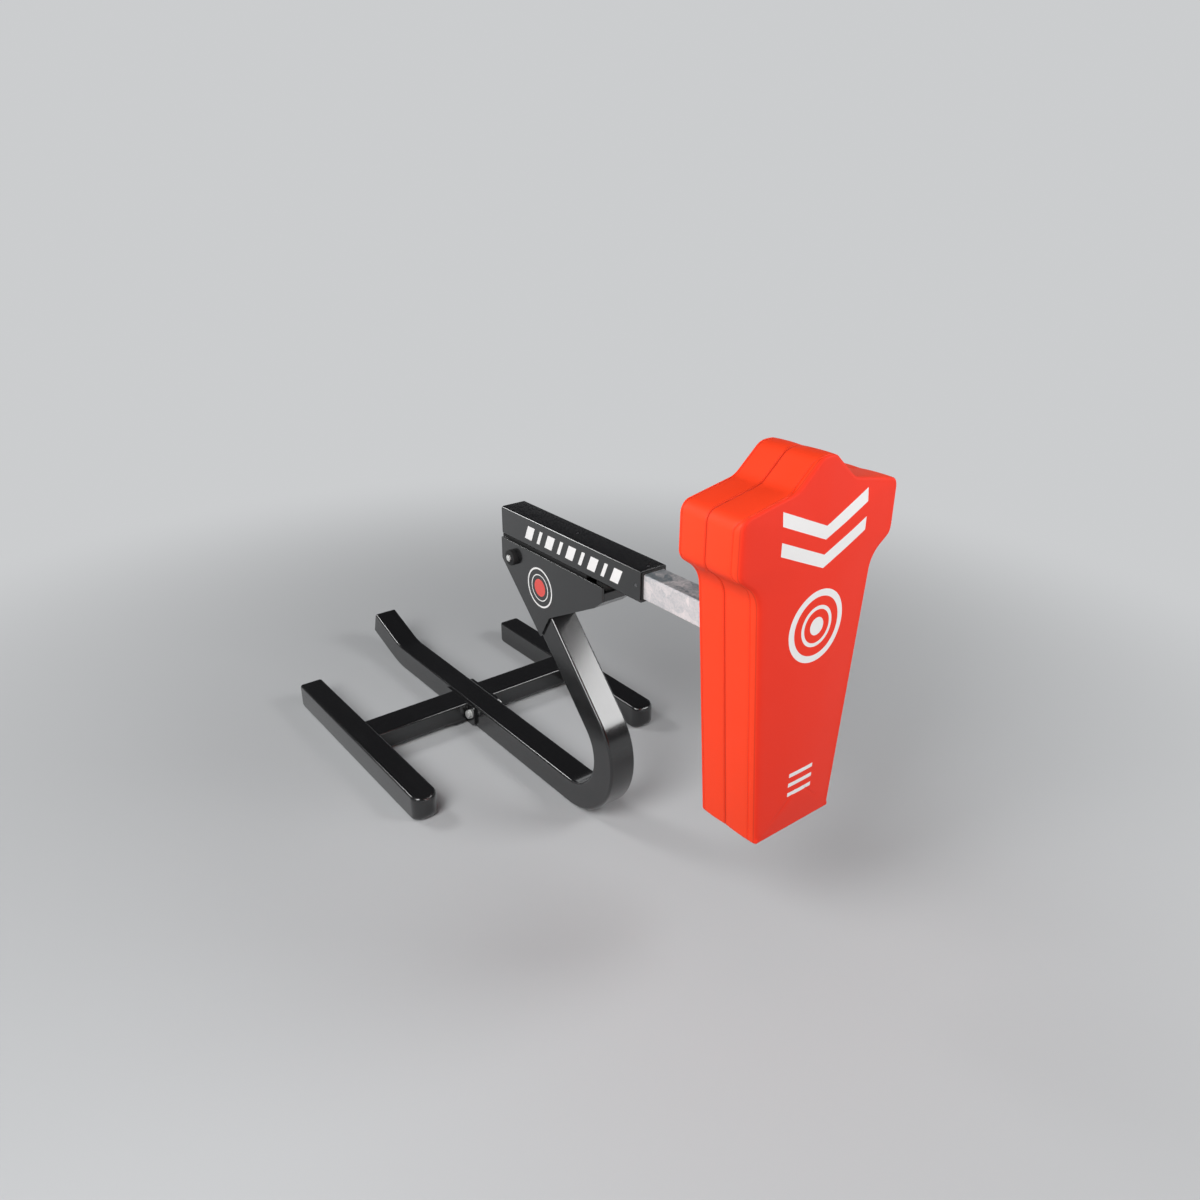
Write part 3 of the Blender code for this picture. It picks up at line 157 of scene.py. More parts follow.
class Finish:
    """One node material with a Principled shader."""

    def __init__(self, name, metallic=0.0, coat=0.0, coat_roughness=0.1):
        self.material = bpy.data.materials.new(name)
        self.material.use_nodes = True
        self.tree = self.material.node_tree
        self.shader = self.tree.nodes["Principled BSDF"]
        self.shader.inputs["Metallic"].default_value = metallic
        self.shader.inputs["Coat Weight"].default_value = coat
        self.shader.inputs["Coat Roughness"].default_value = coat_roughness

    def node(self, kind, settings=None, inputs=None, output=0):
        """Add a node: its settings first, then the values or links of its sockets."""
        node = self.tree.nodes.new(kind)
        for name, value in (settings or {}).items():
            setattr(node, name, value)
        pairs = enumerate(inputs) if isinstance(inputs, list) else (inputs or {}).items()
        for name, value in pairs:
            socket = node.inputs[name]
            if isinstance(value, Wire):
                self.tree.links.new(value.socket, socket)
            else:
                socket.default_value = value
        return Wire(self, node.outputs[output])

    def place(self):
        """Object coordinates: metres in the sled's frame, and they ride along with a moving piece."""
        return self.node("ShaderNodeTexCoord", output="Object")

    def along(self, axis):
        """One of the object coordinates as a number."""
        return self.node("ShaderNodeSeparateXYZ", None, {"Vector": self.place()}, axis)

    def facing_up(self):
        """1 on a surface that faces straight up, 0 on a side."""
        normal = self.node("ShaderNodeTexCoord", output="Normal")
        return self.node("ShaderNodeSeparateXYZ", None, {"Vector": normal}, "Z").clamped()

    def scaled_place(self, size, stretch):
        """Object coordinates in steps of size metres; a stretch below 1 lengthens what they place."""
        return self.node("ShaderNodeVectorMath", {"operation": "MULTIPLY"},
                         [self.place(), tuple(s / size for s in stretch)])

    def noise(self, size, detail=2.0, stretch=(1.0, 1.0, 1.0), roughness=0.5):
        """Soft noise from 0 to 1, whose features are about size metres across."""
        return self.node("ShaderNodeTexNoise", None,
                         {"Vector": self.scaled_place(size, stretch), "Scale": 1.0, "Detail": detail,
                          "Roughness": roughness})

    def cells(self, size, feature="F1", output="Color", stretch=(1.0, 1.0, 1.0)):
        """Voronoi cells about size metres across."""
        return self.node("ShaderNodeTexVoronoi", {"feature": feature},
                         {"Vector": self.scaled_place(size, stretch), "Scale": 1.0}, output)

    def red_of(self, colour):
        """One channel of a colour as a number."""
        return self.node("ShaderNodeSeparateColor", None, {"Color": colour}, "Red")

    def mix(self, share, first, second):
        """A colour between two colours."""
        node = self.tree.nodes.new("ShaderNodeMix")
        node.data_type = "RGBA"
        for name, value in (("Factor_Float", share), ("A_Color", first), ("B_Color", second)):
            socket = next(s for s in node.inputs if s.identifier == name)
            if isinstance(value, Wire):
                self.tree.links.new(value.socket, socket)
            else:
                socket.default_value = value if name == "Factor_Float" else (*value, 1.0)
        return Wire(self, next(s for s in node.outputs if s.identifier == "Result_Color"))

    def bump(self, height, depth, normal=None):
        """Raise the surface by height (0 to 1) times depth in metres."""
        inputs = {"Height": height, "Distance": depth, "Strength": 1.0}
        if normal is not None:
            inputs["Normal"] = normal
        return self.node("ShaderNodeBump", None, inputs)

    def drive(self, **sockets):
        """Link values to the shader's own sockets, such as base_color or roughness."""
        names = {"base_color": "Base Color", "roughness": "Roughness", "normal": "Normal"}
        for name, value in sockets.items():
            socket = self.shader.inputs[names[name]]
            if isinstance(value, Wire):
                self.tree.links.new(value.socket, socket)
            else:
                socket.default_value = value
        return self.material


# %% [markdown]
# ## Powder coat
# The skid, runners and housing are powder coated: the powder melts into a satin skin with a very
# fine orange peel. A plain dark colour would look like plastic card, so the roughness drifts a
# little over a hand's width, the skin has its millimetre peel, and faint rub marks lighten it.

# %% The black paint
PAINT_BLACK = (0.0074, 0.0074, 0.0078)
PAINT_RUBBED = (0.014, 0.014, 0.015)
PAINT_ROUGHNESS = 0.20
PAINT_COAT = 0.8
PAINT_COAT_ROUGHNESS = 0.13
DRIFT_SIZE = 0.12
RUB_SIZE = 0.09
RUB_STREAK = (1.0, 0.25, 1.0)
RUB_SHARE = 0.30
PEEL_SIZE = 0.0016
PEEL_DEPTH = 0.00004


def black_paint(name="black_paint", markings=None, coat=PAINT_COAT, base_roughness=PAINT_ROUGHNESS):
    """Satin powder coat; markings, if given, adds printed colours on top."""
    finish = Finish(name, coat=coat, coat_roughness=PAINT_COAT_ROUGHNESS)
    drift = finish.noise(DRIFT_SIZE, detail=3.0)
    rub = (finish.noise(RUB_SIZE, detail=3.0, stretch=RUB_STREAK) * 3.0 - 1.5).clamped()
    colour = finish.mix(rub * RUB_SHARE, PAINT_BLACK, PAINT_RUBBED)
    roughness = base_roughness + drift * 0.06 + rub * 0.05
    if markings is not None:
        colour, roughness = markings(finish, colour, roughness)
    peel = finish.bump(finish.noise(PEEL_SIZE, detail=1.0), PEEL_DEPTH)
    return finish.drive(base_color=colour, roughness=roughness, normal=peel)


print("paint peel", PEEL_SIZE * 1000, "mm wide")

# %% [markdown]
# ## Galvanised steel
# The arm was dipped in molten zinc, which freezes in crystals called spangle. Each crystal turns
# the light its own way, so neighbours differ in tone and in gloss. Voronoi cells make the
# crystals: a large set for the frost flowers and a small set for the grain inside them. Upward
# faces get painted shade: their colour goes towards a darker blue grey.

# %% The galvanised arm
SPANGLE_SIZE = 0.026
SPANGLE_STRETCH = (1.0, 0.7, 1.0)
SPANGLE_DEPTH = 0.00006
GRAIN_SIZE = 0.006
CLOUD_SIZE = 0.07
ZINC_DARK = (0.55, 0.56, 0.58)
ZINC_PALE = (0.97, 0.885, 0.875)
# Colour of the painted shade on the arm's upward faces.
ZINC_TOP_SHADE = (0.145, 0.185, 0.205)


def galvanised():
    """Zinc crystals of uneven tone and gloss, with painted shade on the top."""
    finish = Finish("galvanised", metallic=0.45)
    flowers = finish.red_of(finish.cells(SPANGLE_SIZE, stretch=SPANGLE_STRETCH))
    grain = finish.red_of(finish.cells(GRAIN_SIZE))
    cloud = finish.noise(CLOUD_SIZE, detail=3.0)
    tone = (flowers * 0.45 + grain * 0.30 + cloud * 0.5 - 0.12).clamped()
    colour = finish.mix(tone, ZINC_DARK, ZINC_PALE)
    # Painted shade: upward faces are tinted a darker blue grey, most on the darker spangles.
    dulled = finish.facing_up() * (1.05 - tone * 0.75).clamped()
    colour = finish.mix(dulled, colour, ZINC_TOP_SHADE)
    roughness = 0.34 + grain * 0.14 + flowers * 0.10
    relief = finish.bump(flowers * 0.5 + grain * 0.5, SPANGLE_DEPTH)
    return finish.drive(base_color=colour, roughness=roughness, normal=relief)


print("spangle", SPANGLE_SIZE * 1000, "mm across")

# %% [markdown]
# ## Zinc, spring steel, plastic, rubber, plywood
# These show in small places: bolt heads, the spring inside the housing, the linings at its mouth,
# the bumper under it. One function per finish keeps each a few lines long.

# %% The small finishes
PLATING = ((0.66, 0.67, 0.66), (0.84, 0.84, 0.82))
DARK_PLATING = ((0.09, 0.09, 0.10), (0.20, 0.20, 0.21))
OILED_WIRE = ((0.08, 0.08, 0.08), (0.17, 0.16, 0.15))
MOULDED_BLACK = ((0.016, 0.016, 0.016), (0.026, 0.026, 0.026))
RUBBER_BLACK = ((0.012, 0.012, 0.012), (0.032, 0.031, 0.030))
VENEER = ((0.34, 0.20, 0.10), (0.62, 0.44, 0.26))
VENEER_STRETCH = (1.0, 1.0, 0.08)


def zinc(name="zinc", shades=PLATING):
    """Plating on bolts and washers, slightly clouded and dulled by the weather."""
    finish = Finish(name, metallic=0.5)
    cloud = finish.noise(size=0.006, detail=3.0)
    turning = finish.noise(size=0.0008, detail=1.0)
    return finish.drive(base_color=finish.mix(cloud, *shades), roughness=0.22 + cloud * 0.16,
                        normal=finish.bump(turning, depth=0.00002))


def spring_steel():
    """Oil-blackened wire."""
    finish = Finish("spring_steel", metallic=1.0)
    cloud = finish.noise(size=0.010, detail=3.0)
    return finish.drive(base_color=finish.mix(cloud, *OILED_WIRE), roughness=0.32 + cloud * 0.15,
                        normal=finish.bump(finish.noise(size=0.0012), depth=0.00002))


def black_plastic():
    """Moulded plastic with a fine spark-eroded grain."""
    finish = Finish("black_plastic")
    grain = finish.noise(size=0.0007)
    cloud = finish.noise(size=0.03)
    return finish.drive(base_color=finish.mix(cloud, *MOULDED_BLACK), roughness=0.48 + grain * 0.12,
                        normal=finish.bump(grain, depth=0.00003))


def rubber():
    """Dull moulded rubber."""
    finish = Finish("rubber")
    bloom = finish.noise(size=0.012, detail=4.0)
    return finish.drive(base_color=finish.mix(bloom, *RUBBER_BLACK), roughness=0.72 + bloom * 0.15,
                        normal=finish.bump(finish.noise(size=0.0009), depth=0.00005))


def plywood():
    """Face veneer with grain along the board's height."""
    finish = Finish("plywood")
    grain = finish.noise(size=0.012, detail=5.0, stretch=VENEER_STRETCH, roughness=0.6)
    return finish.drive(base_color=finish.mix(grain, *VENEER), roughness=0.55 + grain * 0.2,
                        normal=finish.bump(grain, depth=0.0002))


print("small finishes ready")

# %% [markdown]
# ## Vinyl
# The pad's cover is vinyl-coated cloth pulled tight over stiff foam. Up close it has a shallow
# pebble grain with the weave of the backing cloth just showing through. Its colour is even, so
# the life comes from the grain, a slow change of gloss and slightly paler high spots. Painted
# shade darkens the seams, a line round the face's rim and, partly, the face itself.

# %% The vinyl cover
VINYL_SIDE = (0.93, 0.050, 0.010)
# The face red is a deeper red than the sides, darkened further as painted shade for a face turned from the main
# lamp.
VINYL_FACE_SHADED = (0.87, 0.033, 0.011)
VINYL_SPECULAR = 0.24
PEBBLE_SIZE = 0.0022
PEBBLE_DEPTH = 0.00012
WEAVE_PITCH = 0.0011
WEAVE_DEPTH = 0.00002
SLACK_SIZE = 0.22
SLACK_DEPTH = 0.0015
COVER_FRONT_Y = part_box("pad_front_cover")[0].y
SEAM_Y = (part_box("pad_front_cover")[1].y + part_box("pad_rear_cover")[0].y) / 2
# Painted shade: a darker red along the middle seam and along a line round the face's rim.
PAINTED_SEAM_SHADE = (0.46, 0.018, 0.006)
SEAM_SHADE_WIDTH = 0.0026
RIM_LINE_Y = COVER_FRONT_Y + 0.0135
RIM_LINE_WIDTH = 0.0020
RIM_ROLL_Y = COVER_FRONT_Y + 0.0092
RIM_ROLL_WIDTH = 0.0045
TWIST = {"X": 2600.0, "Y": 900.0, "Z": 2600.0}
THREAD_SHADES = ((0.50, 0.022, 0.008), (0.66, 0.032, 0.012))


def weave_height(finish):
    """A plain weave seen from any side, as the sum of three waves."""
    waves = [(finish.along(axis) * (2 * pi / WEAVE_PITCH)).sine() for axis in ("X", "Y", "Z")]
    return sum(waves) * 0.16 + 0.5


def line_at(finish, y, width):
    """1 on a line round the pad at depth y, fading to 0 a width away on both sides."""
    return (1 - abs(finish.along("Y") - y) / width).clamped()


def vinyl(name, base, markings=None):
    """Coated cloth with painted shade along its seams and round the face's rim; markings, if given, adds printed
    colours below them.
    """
    finish = Finish(name)
    finish.shader.inputs["Specular IOR Level"].default_value = VINYL_SPECULAR
    pebble = finish.cells(PEBBLE_SIZE, "SMOOTH_F1", "Distance")
    drift = finish.noise(size=0.16, detail=3.0)
    lighter = tuple(min(1.0, c * 1.10 + 0.004) for c in base)
    darker = tuple(c * 0.93 for c in base)
    colour = finish.mix(drift * 0.7 + pebble * 0.4, darker, lighter)
    roughness = 0.46 + drift * 0.10 + pebble * 0.10
    if markings is not None:
        colour, roughness = markings(finish, colour, roughness)
    # Painted shade: the middle seam and a line round the face's rim are darkened in colour.
    sewn = line_at(finish, SEAM_Y, SEAM_SHADE_WIDTH)
    rim_shading = line_at(finish, RIM_LINE_Y, RIM_LINE_WIDTH)
    rolled = line_at(finish, RIM_ROLL_Y, RIM_ROLL_WIDTH)
    colour = finish.mix(sewn * 0.75 + rim_shading * 0.5, colour, PAINTED_SEAM_SHADE)
    roughness = roughness + rolled * 0.3
    weave = finish.bump(weave_height(finish), WEAVE_DEPTH)
    grain = finish.bump(pebble, PEBBLE_DEPTH, weave)
    slack = finish.bump(finish.noise(SLACK_SIZE), SLACK_DEPTH, grain)
    return finish.drive(base_color=colour, roughness=roughness, normal=slack)


def thread():
    """Bonded polyester thread, a shade deeper than the cover, with its twist as fine waves."""
    finish = Finish("thread")
    twist = sum(finish.along(axis) * waves for axis, waves in TWIST.items()).sine()
    colour = finish.mix(twist * 0.5 + 0.5, *THREAD_SHADES)
    return finish.drive(base_color=colour, roughness=0.55 + twist * 0.08,
                        normal=finish.bump(twist, depth=0.00004))


print("vinyl grain", PEBBLE_SIZE * 1000, "mm")

# %% [markdown]
# ## Plain printed marks
# The pad's face carries a plain hitting target: two chevrons at chest height, two rings and a dot
# where a player aims, and three short bars near the foot. The housing has a row of slanting blocks
# and the side plates two thin rings round a red disc. They are ink, not shape, so each is a mask
# worked out from the coordinates and mixed into the colour.

# %% Masks for the marks
INK_WHITE = (0.86, 0.84, 0.83)
INK_RED = (0.74, 0.060, 0.045)
INK_EDGE = 0.0006
INK_ROUGHNESS = 0.38
INK_WEAR = 0.10


def inside(distance):
    """1 where distance is below 0, with an edge about half a millimetre soft."""
    return (0.5 - distance / INK_EDGE).clamped()


def reach_of(across, up):
    """Distance from (0, 0) in two coordinates."""
    return (across * across + up * up).root()


def ring_mask(across, up, radius, width):
    """A ring about (0, 0)."""
    return inside(abs(reach_of(across, up) - radius) - width / 2)


def disc_mask(across, up, radius):
    """A filled round about (0, 0)."""
    return inside(reach_of(across, up) - radius)


def bar_mask(across, up, half_width, half_height):
    """A filled rectangle about (0, 0)."""
    return inside((abs(across) - half_width).at_least(abs(up) - half_height))


def joined(masks):
    """One mask that is 1 wherever any of them is."""
    whole = masks[0]
    for mask in masks[1:]:
        whole = whole.at_least(mask)
    return whole


def printed(finish, colour, roughness, mask, ink):
    """Ink where the mask is 1, thinned a little by fine wear."""
    wear = (finish.noise(size=0.0035, detail=3.0) * 5.0 - 0.9).clamped()
    share = mask * ((1 - INK_WEAR) + wear * INK_WEAR)
    return finish.mix(share, colour, ink), roughness * (1 - mask) + mask * INK_ROUGHNESS


# %% [markdown]
# ## Meshes from rings
# Most of the metal is a section carried along a path. A ring is one copy of the section, and
# skinning a row of rings makes the piece. Weighted normals then keep the flats flat and leave
# the roundness to the corners, as on a rolled tube.

# %% Helpers for meshes
SMOOTH_ANGLE = radians(38.0)
CORNER_STEP = radians(15.0)
STEP_SLACK = 0.01
SAME_POINT = 1e-5
FLAT_ANGLE = radians(1.0)
EDGE_ANGLE = radians(48.0)
EDGE_SEGMENTS = 3


def finish_piece(name, builder, material, body, slot, nodes=(), weighted=True):
    bmesh.ops.recalc_face_normals(builder, faces=builder.faces)
    if builder.calc_volume(signed=True) < 0.0:
        bmesh.ops.reverse_faces(builder, faces=builder.faces)
    mesh = bpy.data.meshes.new(name)
    builder.to_mesh(mesh)
    builder.free()
    mesh.shade_smooth()
    mesh.set_sharp_from_angle(angle=SMOOTH_ANGLE)
    mesh.materials.append(material)
    piece = bpy.data.objects.new(name, mesh)
    bpy.context.scene.collection.objects.link(piece)
    if weighted:
        normals = piece.modifiers.new("flat_normals", "WEIGHTED_NORMAL")
        normals.keep_sharp = True
    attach(piece, body)
    if nodes:
        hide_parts(*nodes)
    return piece


def add_skin(builder, rings, closed_row=False, last_cap=True):
    """Add faces between neighbouring rings, and a cap at each end of an open row."""
    rows = [[builder.verts.new(point) for point in ring] for ring in rings]
    pairs = list(zip(rows, rows[1:]))
    if closed_row:
        pairs.append((rows[-1], rows[0]))
    for near, far in pairs:
        for i in range(len(near)):
            j = (i + 1) % len(near)
            builder.faces.new((near[i], near[j], far[j], far[i]))
    if not closed_row:
        builder.faces.new(rows[0][::-1])
        if last_cap:
            builder.faces.new(rows[-1])


def skinned(rings, closed_row=False, last_cap=True):
    """A new bmesh that holds the skin of one row of rings."""
    builder = bmesh.new()
    add_skin(builder, rings, closed_row, last_cap)
    return builder


def rounded_outline(corners, step):
    """Round the corners (a, b, radius) of a closed outline with arcs."""
    points = []
    count = len(corners)
    for i, (a, b, radius) in enumerate(corners):
        corner = Vector((a, b))
        before = (Vector(corners[i - 1][:2]) - corner).normalized()
        after = (Vector(corners[(i + 1) % count][:2]) - corner).normalized()
        if radius <= 0.0:
            points.append(corner)
            continue
        opening = before.angle(after)
        centre = corner + (before + after).normalized() * radius / sin(opening / 2)
        start = corner + before * radius / tan(opening / 2) - centre
        end = corner + after * radius / tan(opening / 2) - centre
        turn = start.angle_signed(end)
        steps = max(1, ceil(abs(turn) / step - STEP_SLACK))
        first = atan2(start.y, start.x)
        for k in range(steps + 1):
            angle = first - turn * k / steps
            points.append(centre + radius * Vector((cos(angle), sin(angle))))
    return points


def rectangle(width, height, radius, step=CORNER_STEP):
    """A rounded rectangle about (0, 0)."""
    a, b = width / 2, height / 2
    return rounded_outline([(a, -b, radius), (a, b, radius), (-a, b, radius), (-a, -b, radius)], step)


def circle(centre, radius, first, second, sides):
    """Points round a centre, in the plane of two directions."""
    angles = [2 * pi * k / sides for k in range(sides)]
    return [centre + radius * (cos(a) * first + sin(a) * second) for a in angles]


def rounded_copy(node, edge, material, body, slot):
    """A CAD node copied with its flat faces made whole and its hard edges slightly rounded."""
    builder = bmesh.new()
    builder.from_mesh(frame["nodes"][node].data)
    bmesh.ops.remove_doubles(builder, verts=builder.verts, dist=SAME_POINT)
    bmesh.ops.dissolve_limit(builder, angle_limit=FLAT_ANGLE, verts=builder.verts,
                             edges=builder.edges)
    piece = finish_piece(f"{node}_rounded", builder, material, body, slot, (node,), weighted=False)
    bevel = piece.modifiers.new("rounded_edges", "BEVEL")
    bevel.width = edge
    bevel.segments = EDGE_SEGMENTS
    bevel.limit_method = "ANGLE"
    bevel.angle_limit = EDGE_ANGLE
    normals = piece.modifiers.new("flat_normals", "WEIGHTED_NORMAL")
    normals.keep_sharp = False
    return piece


# %% [markdown]
# ## Finishes ready for use
# The marks need the places of the pieces that carry them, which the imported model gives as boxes.

# %% Make the finishes
pad_low, pad_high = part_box("pad_front_cover")
housing_low, housing_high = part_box("arm_housing")
PAD_BOTTOM = pad_low.z
PANEL_EDGE_Y = COVER_FRONT_Y + 0.0145
PANEL_FADE = 0.005
MARKS_END_Y = COVER_FRONT_Y + 0.012
TARGET = {"height": 0.600, "rings": ((0.088, 0.018), (0.050, 0.010)), "dot": 0.024}
CHEVRONS = {"heights": (0.770, 0.842), "slope": 0.42, "half_width": 0.150, "half_height": 0.017}
FOOT_BARS = {"heights": (0.120, 0.150, 0.180), "half_width": 0.045, "half_height": 0.006}
BLOCKS = {"count": 9, "pitch": 0.0575, "slant": 0.45, "half_height": 0.024,
          "half_widths": (0.0195, 0.008)}
BLOCKS_MIDDLE_Y = PIVOT.y - 0.3196
BLOCKS_START_X = housing_high.x - 0.004
ROUND = {"rings": ((0.068, 0.0060), (0.046, 0.0035)), "dot": 0.031}
ROUND_Y = PIVOT.y - 0.1546
ROUND_Z = PIVOT.z - 0.0636
ROUND_START_X = 0.056


def pad_marks(finish, colour, roughness):
    """The face panel in a deeper red darkened with painted shade, with the hitting target printed on it."""
    across, depth = finish.along("X"), finish.along("Y")
    up = finish.along("Z") - PAD_BOTTOM
    # Painted shade: the face, and a strip along the top edge, take the darker face red.
    panel = ((PANEL_EDGE_Y - depth) / PANEL_FADE).clamped()
    colour = finish.mix(panel, colour, VINYL_FACE_SHADED)
    above = up - TARGET["height"]
    masks = [ring_mask(across, above, *sizes) for sizes in TARGET["rings"]]
    masks.append(disc_mask(across, above, TARGET["dot"]))
    for marks, slope in ((CHEVRONS, CHEVRONS["slope"]), (FOOT_BARS, 0.0)):
        for height in marks["heights"]:
            slanted = up - height - abs(across) * slope
            masks.append(bar_mask(across, slanted, marks["half_width"], marks["half_height"]))
    facing = inside(depth - MARKS_END_Y)
    return printed(finish, colour, roughness, joined(masks) * facing, INK_WHITE)


def housing_marks(finish, colour, roughness):
    """A row of slanting blocks along both sides of the housing, wide and narrow by turns."""
    up = finish.along("Z") - (housing_low.z + housing_high.z) / 2
    slanted = finish.along("Y") + up * BLOCKS["slant"]
    beside = inside(BLOCKS_START_X - abs(finish.along("X")))
    blocks = []
    for k in range(BLOCKS["count"]):
        place = BLOCKS_MIDDLE_Y + (k - BLOCKS["count"] // 2) * BLOCKS["pitch"]
        half_width = BLOCKS["half_widths"][k % 2]
        blocks.append(bar_mask(slanted - place, up, half_width, BLOCKS["half_height"]))
    return printed(finish, colour, roughness, joined(blocks) * beside, INK_WHITE)


def plate_marks(finish, colour, roughness):
    """Two thin rings with a red round in them on both side plates."""
    along, up = finish.along("Y") - ROUND_Y, finish.along("Z") - ROUND_Z
    beside = inside(ROUND_START_X - abs(finish.along("X")))
    rings = joined([ring_mask(along, up, *sizes) for sizes in ROUND["rings"]])
    colour, roughness = printed(finish, colour, roughness, rings * beside, INK_WHITE)
    return printed(finish, colour, roughness, disc_mask(along, up, ROUND["dot"]) * beside, INK_RED)


PAINT = black_paint()
PAINT_HOUSING = black_paint("black_paint_housing", housing_marks)
PAINT_PLATE = black_paint("black_paint_plate", plate_marks)
PAINT_MATTE = black_paint("black_paint_matte", coat=0.0, base_roughness=0.62)
GALVANISED = galvanised()
ZINC = zinc()
DARK_ZINC = zinc("dark_zinc", DARK_PLATING)
STEEL = spring_steel()
PLASTIC = black_plastic()
RUBBER = rubber()
PLYWOOD = plywood()
FACE_VINYL = vinyl("vinyl_face", VINYL_SIDE, pad_marks)
SIDE_VINYL = vinyl("vinyl_side", VINYL_SIDE)
THREAD = thread()
SLOT_FINISHES = {"black_paint": PAINT, "galvanised": GALVANISED, "zinc": ZINC,
                 "spring_steel": STEEL, "black_plastic": PLASTIC, "rubber": RUBBER,
                 "plywood": PLYWOOD, "vinyl_face": FACE_VINYL, "vinyl_side": SIDE_VINYL,
                 "foam": SIDE_VINYL}
for part in frame["record"]["subparts"]:
    holder = frame["nodes"][part["node"]]
    holder.data.materials.clear()
    holder.data.materials.append(SLOT_FINISHES[part["material_slot"]])
print(len(SLOT_FINISHES), "finishes on", len(frame["nodes"]), "nodes")

# %% [markdown]
# ## The bent skid
# One square tube makes the tail, the ground skid, the tight front bend and the leaning post. The
# CAD bends it in steps of ten degrees; here the same path has a ring every two degrees, and the
# tube's corners are round, so that highlights run along them without a break.

# %% The skid's path and the tube round it
TUBE = 0.1016
TUBE_CORNER = 0.009
BEND_RADIUS = 0.1998
POST_LEAN = radians(46.6)
POST_LENGTH = 0.585
PIVOT_ALONG_POST = 0.6410
PIVOT_AHEAD_OF_POST = 0.0105
SKID_FLAT = 1.2638
TAIL_RADIUS = 0.30
TAIL_LIFT = radians(18.3)
TAIL_LENGTH = 0.1988
TAIL_EDGE = 0.008
POST_EDGE = 0.0025
CAP = 0.005
END_STEPS = 5
TAIL_STEPS = 12
BEND_STEP = radians(2.0)

POST_RUN = Vector((0.0, cos(POST_LEAN), sin(POST_LEAN)))
POST_AHEAD = Vector((0.0, -sin(POST_LEAN), cos(POST_LEAN)))
POST_FOOT = PIVOT - PIVOT_ALONG_POST * POST_RUN - PIVOT_AHEAD_OF_POST * POST_AHEAD
BEND_CENTRE = POST_FOOT - BEND_RADIUS * POST_AHEAD


def square_to(angle):
    """The direction square to the tube where it has turned by angle from the ground skid."""
    return Vector((0.0, sin(angle), cos(angle)))


def skid_path():
    """Points along the tube's centre line with the direction square to the tube."""
    tail_centre = Vector((0.0, BEND_CENTRE.y + SKID_FLAT, TUBE / 2 + TAIL_RADIUS))
    tail_square = square_to(-TAIL_LIFT)
    tail_run = Vector((0.0, cos(TAIL_LIFT), sin(TAIL_LIFT)))
    tail_start = tail_centre - TAIL_RADIUS * tail_square
    path = [(tail_start + TAIL_LENGTH * tail_run, tail_square)]
    for k in range(TAIL_STEPS + 1):
        square = square_to(-TAIL_LIFT * (1 - k / TAIL_STEPS))
        path.append((tail_centre - TAIL_RADIUS * square, square))
    turn = pi - POST_LEAN
    steps = ceil(turn / BEND_STEP)
    for k in range(steps + 1):
        square = square_to(turn * k / steps)
        path.append((BEND_CENTRE - BEND_RADIUS * square, square))
    path.append((POST_FOOT + (POST_LENGTH + CAP) * POST_RUN, -POST_AHEAD))
    return path


def tube_ring(origin, square, drawn=0.0):
    """The tube's section about a point of its centre line, drawn in on all four sides."""
    loop = rectangle(TUBE - 2 * drawn, TUBE - 2 * drawn, TUBE_CORNER + drawn * 0.5)
    return [origin + Vector((p.x, 0.0, 0.0)) + p.y * square for p in loop]


def end_rings(origin, inward, square, edge):
    """Rings that round the edge of the tube's closed end, from the end inward."""
    rings = []
    for k in range(END_STEPS + 1):
        angle = pi / 2 * k / END_STEPS
        along, drawn = edge * (1 - cos(angle)), edge * (1 - sin(angle))
        rings.append(tube_ring(origin + inward * along, square, drawn))
    return rings


def skid_rings():
    """The tube's section along its path, drawn in at the tail and at the top of the post."""
    path = skid_path()
    rings = end_rings(path[0][0], (path[1][0] - path[0][0]).normalized(), path[0][1], TAIL_EDGE)
    rings += [tube_ring(origin, square) for origin, square in path[1:-1]]
    rings += reversed(end_rings(path[-1][0], -POST_RUN, path[-1][1], POST_EDGE))
    return rings


skid = finish_piece("skid_beam", skinned(skid_rings()), PAINT, "frame", "black_paint",
                    ("main_skid", "skid_tail_cap", "post_cap"))
print("skid has", len(skid.data.vertices), "points")

# %% [markdown]
# ## Side runners
# Each runner is a square tube whose nose is rounded in plan, curved up from the ground and
# bevelled on top, so it can't dig into the turf. A section that changes along the runner makes
# tube, nose and tail in one unbroken skin.

# %% Runners
RUNNER_WIDTH = 0.096
RUNNER_HEIGHT = 0.0975
RUNNER_CORNER = 0.008
RUNNER_STEPS = 12
NOSE = {"plan": 0.043, "bottom": 0.032, "bevel": 0.019, "corner": 0.017, "reach": 0.045}
TAIL = {"plan": 0.012, "bottom": 0.026, "bevel": 0.005, "corner": 0.008, "reach": 0.027}


def quarter(distance, radius):
    """How far a quarter round has drawn in, at a distance from its end."""
    if distance >= radius:
        return 0.0
    return radius - sqrt(radius * radius - (radius - distance) ** 2)


def runner_stations(reach):
    """Distances from an end, close together where the shape turns fast."""
    return [reach * (1 - cos(pi / 2 * k / RUNNER_STEPS)) for k in range(RUNNER_STEPS + 1)]


def runner_ring(centre_x, y, distance, shape):
    """The runner's section at a distance from one end."""
    half = RUNNER_WIDTH / 2 - quarter(distance, shape["plan"])
    low = quarter(distance, shape["bottom"])
    high = RUNNER_HEIGHT - quarter(distance, shape["bevel"])
    rounding = min(1.0, max(0.0, 2 * (1 - distance / shape["plan"])))
    corner = RUNNER_CORNER + (shape["corner"] - RUNNER_CORNER) * rounding
    corner = min(corner, half * 0.9, (high - low) * 0.45)
    loop = rectangle(2 * half, high - low, corner)
    return [Vector((centre_x + p.x, y, (high + low) / 2 + p.y)) for p in loop]


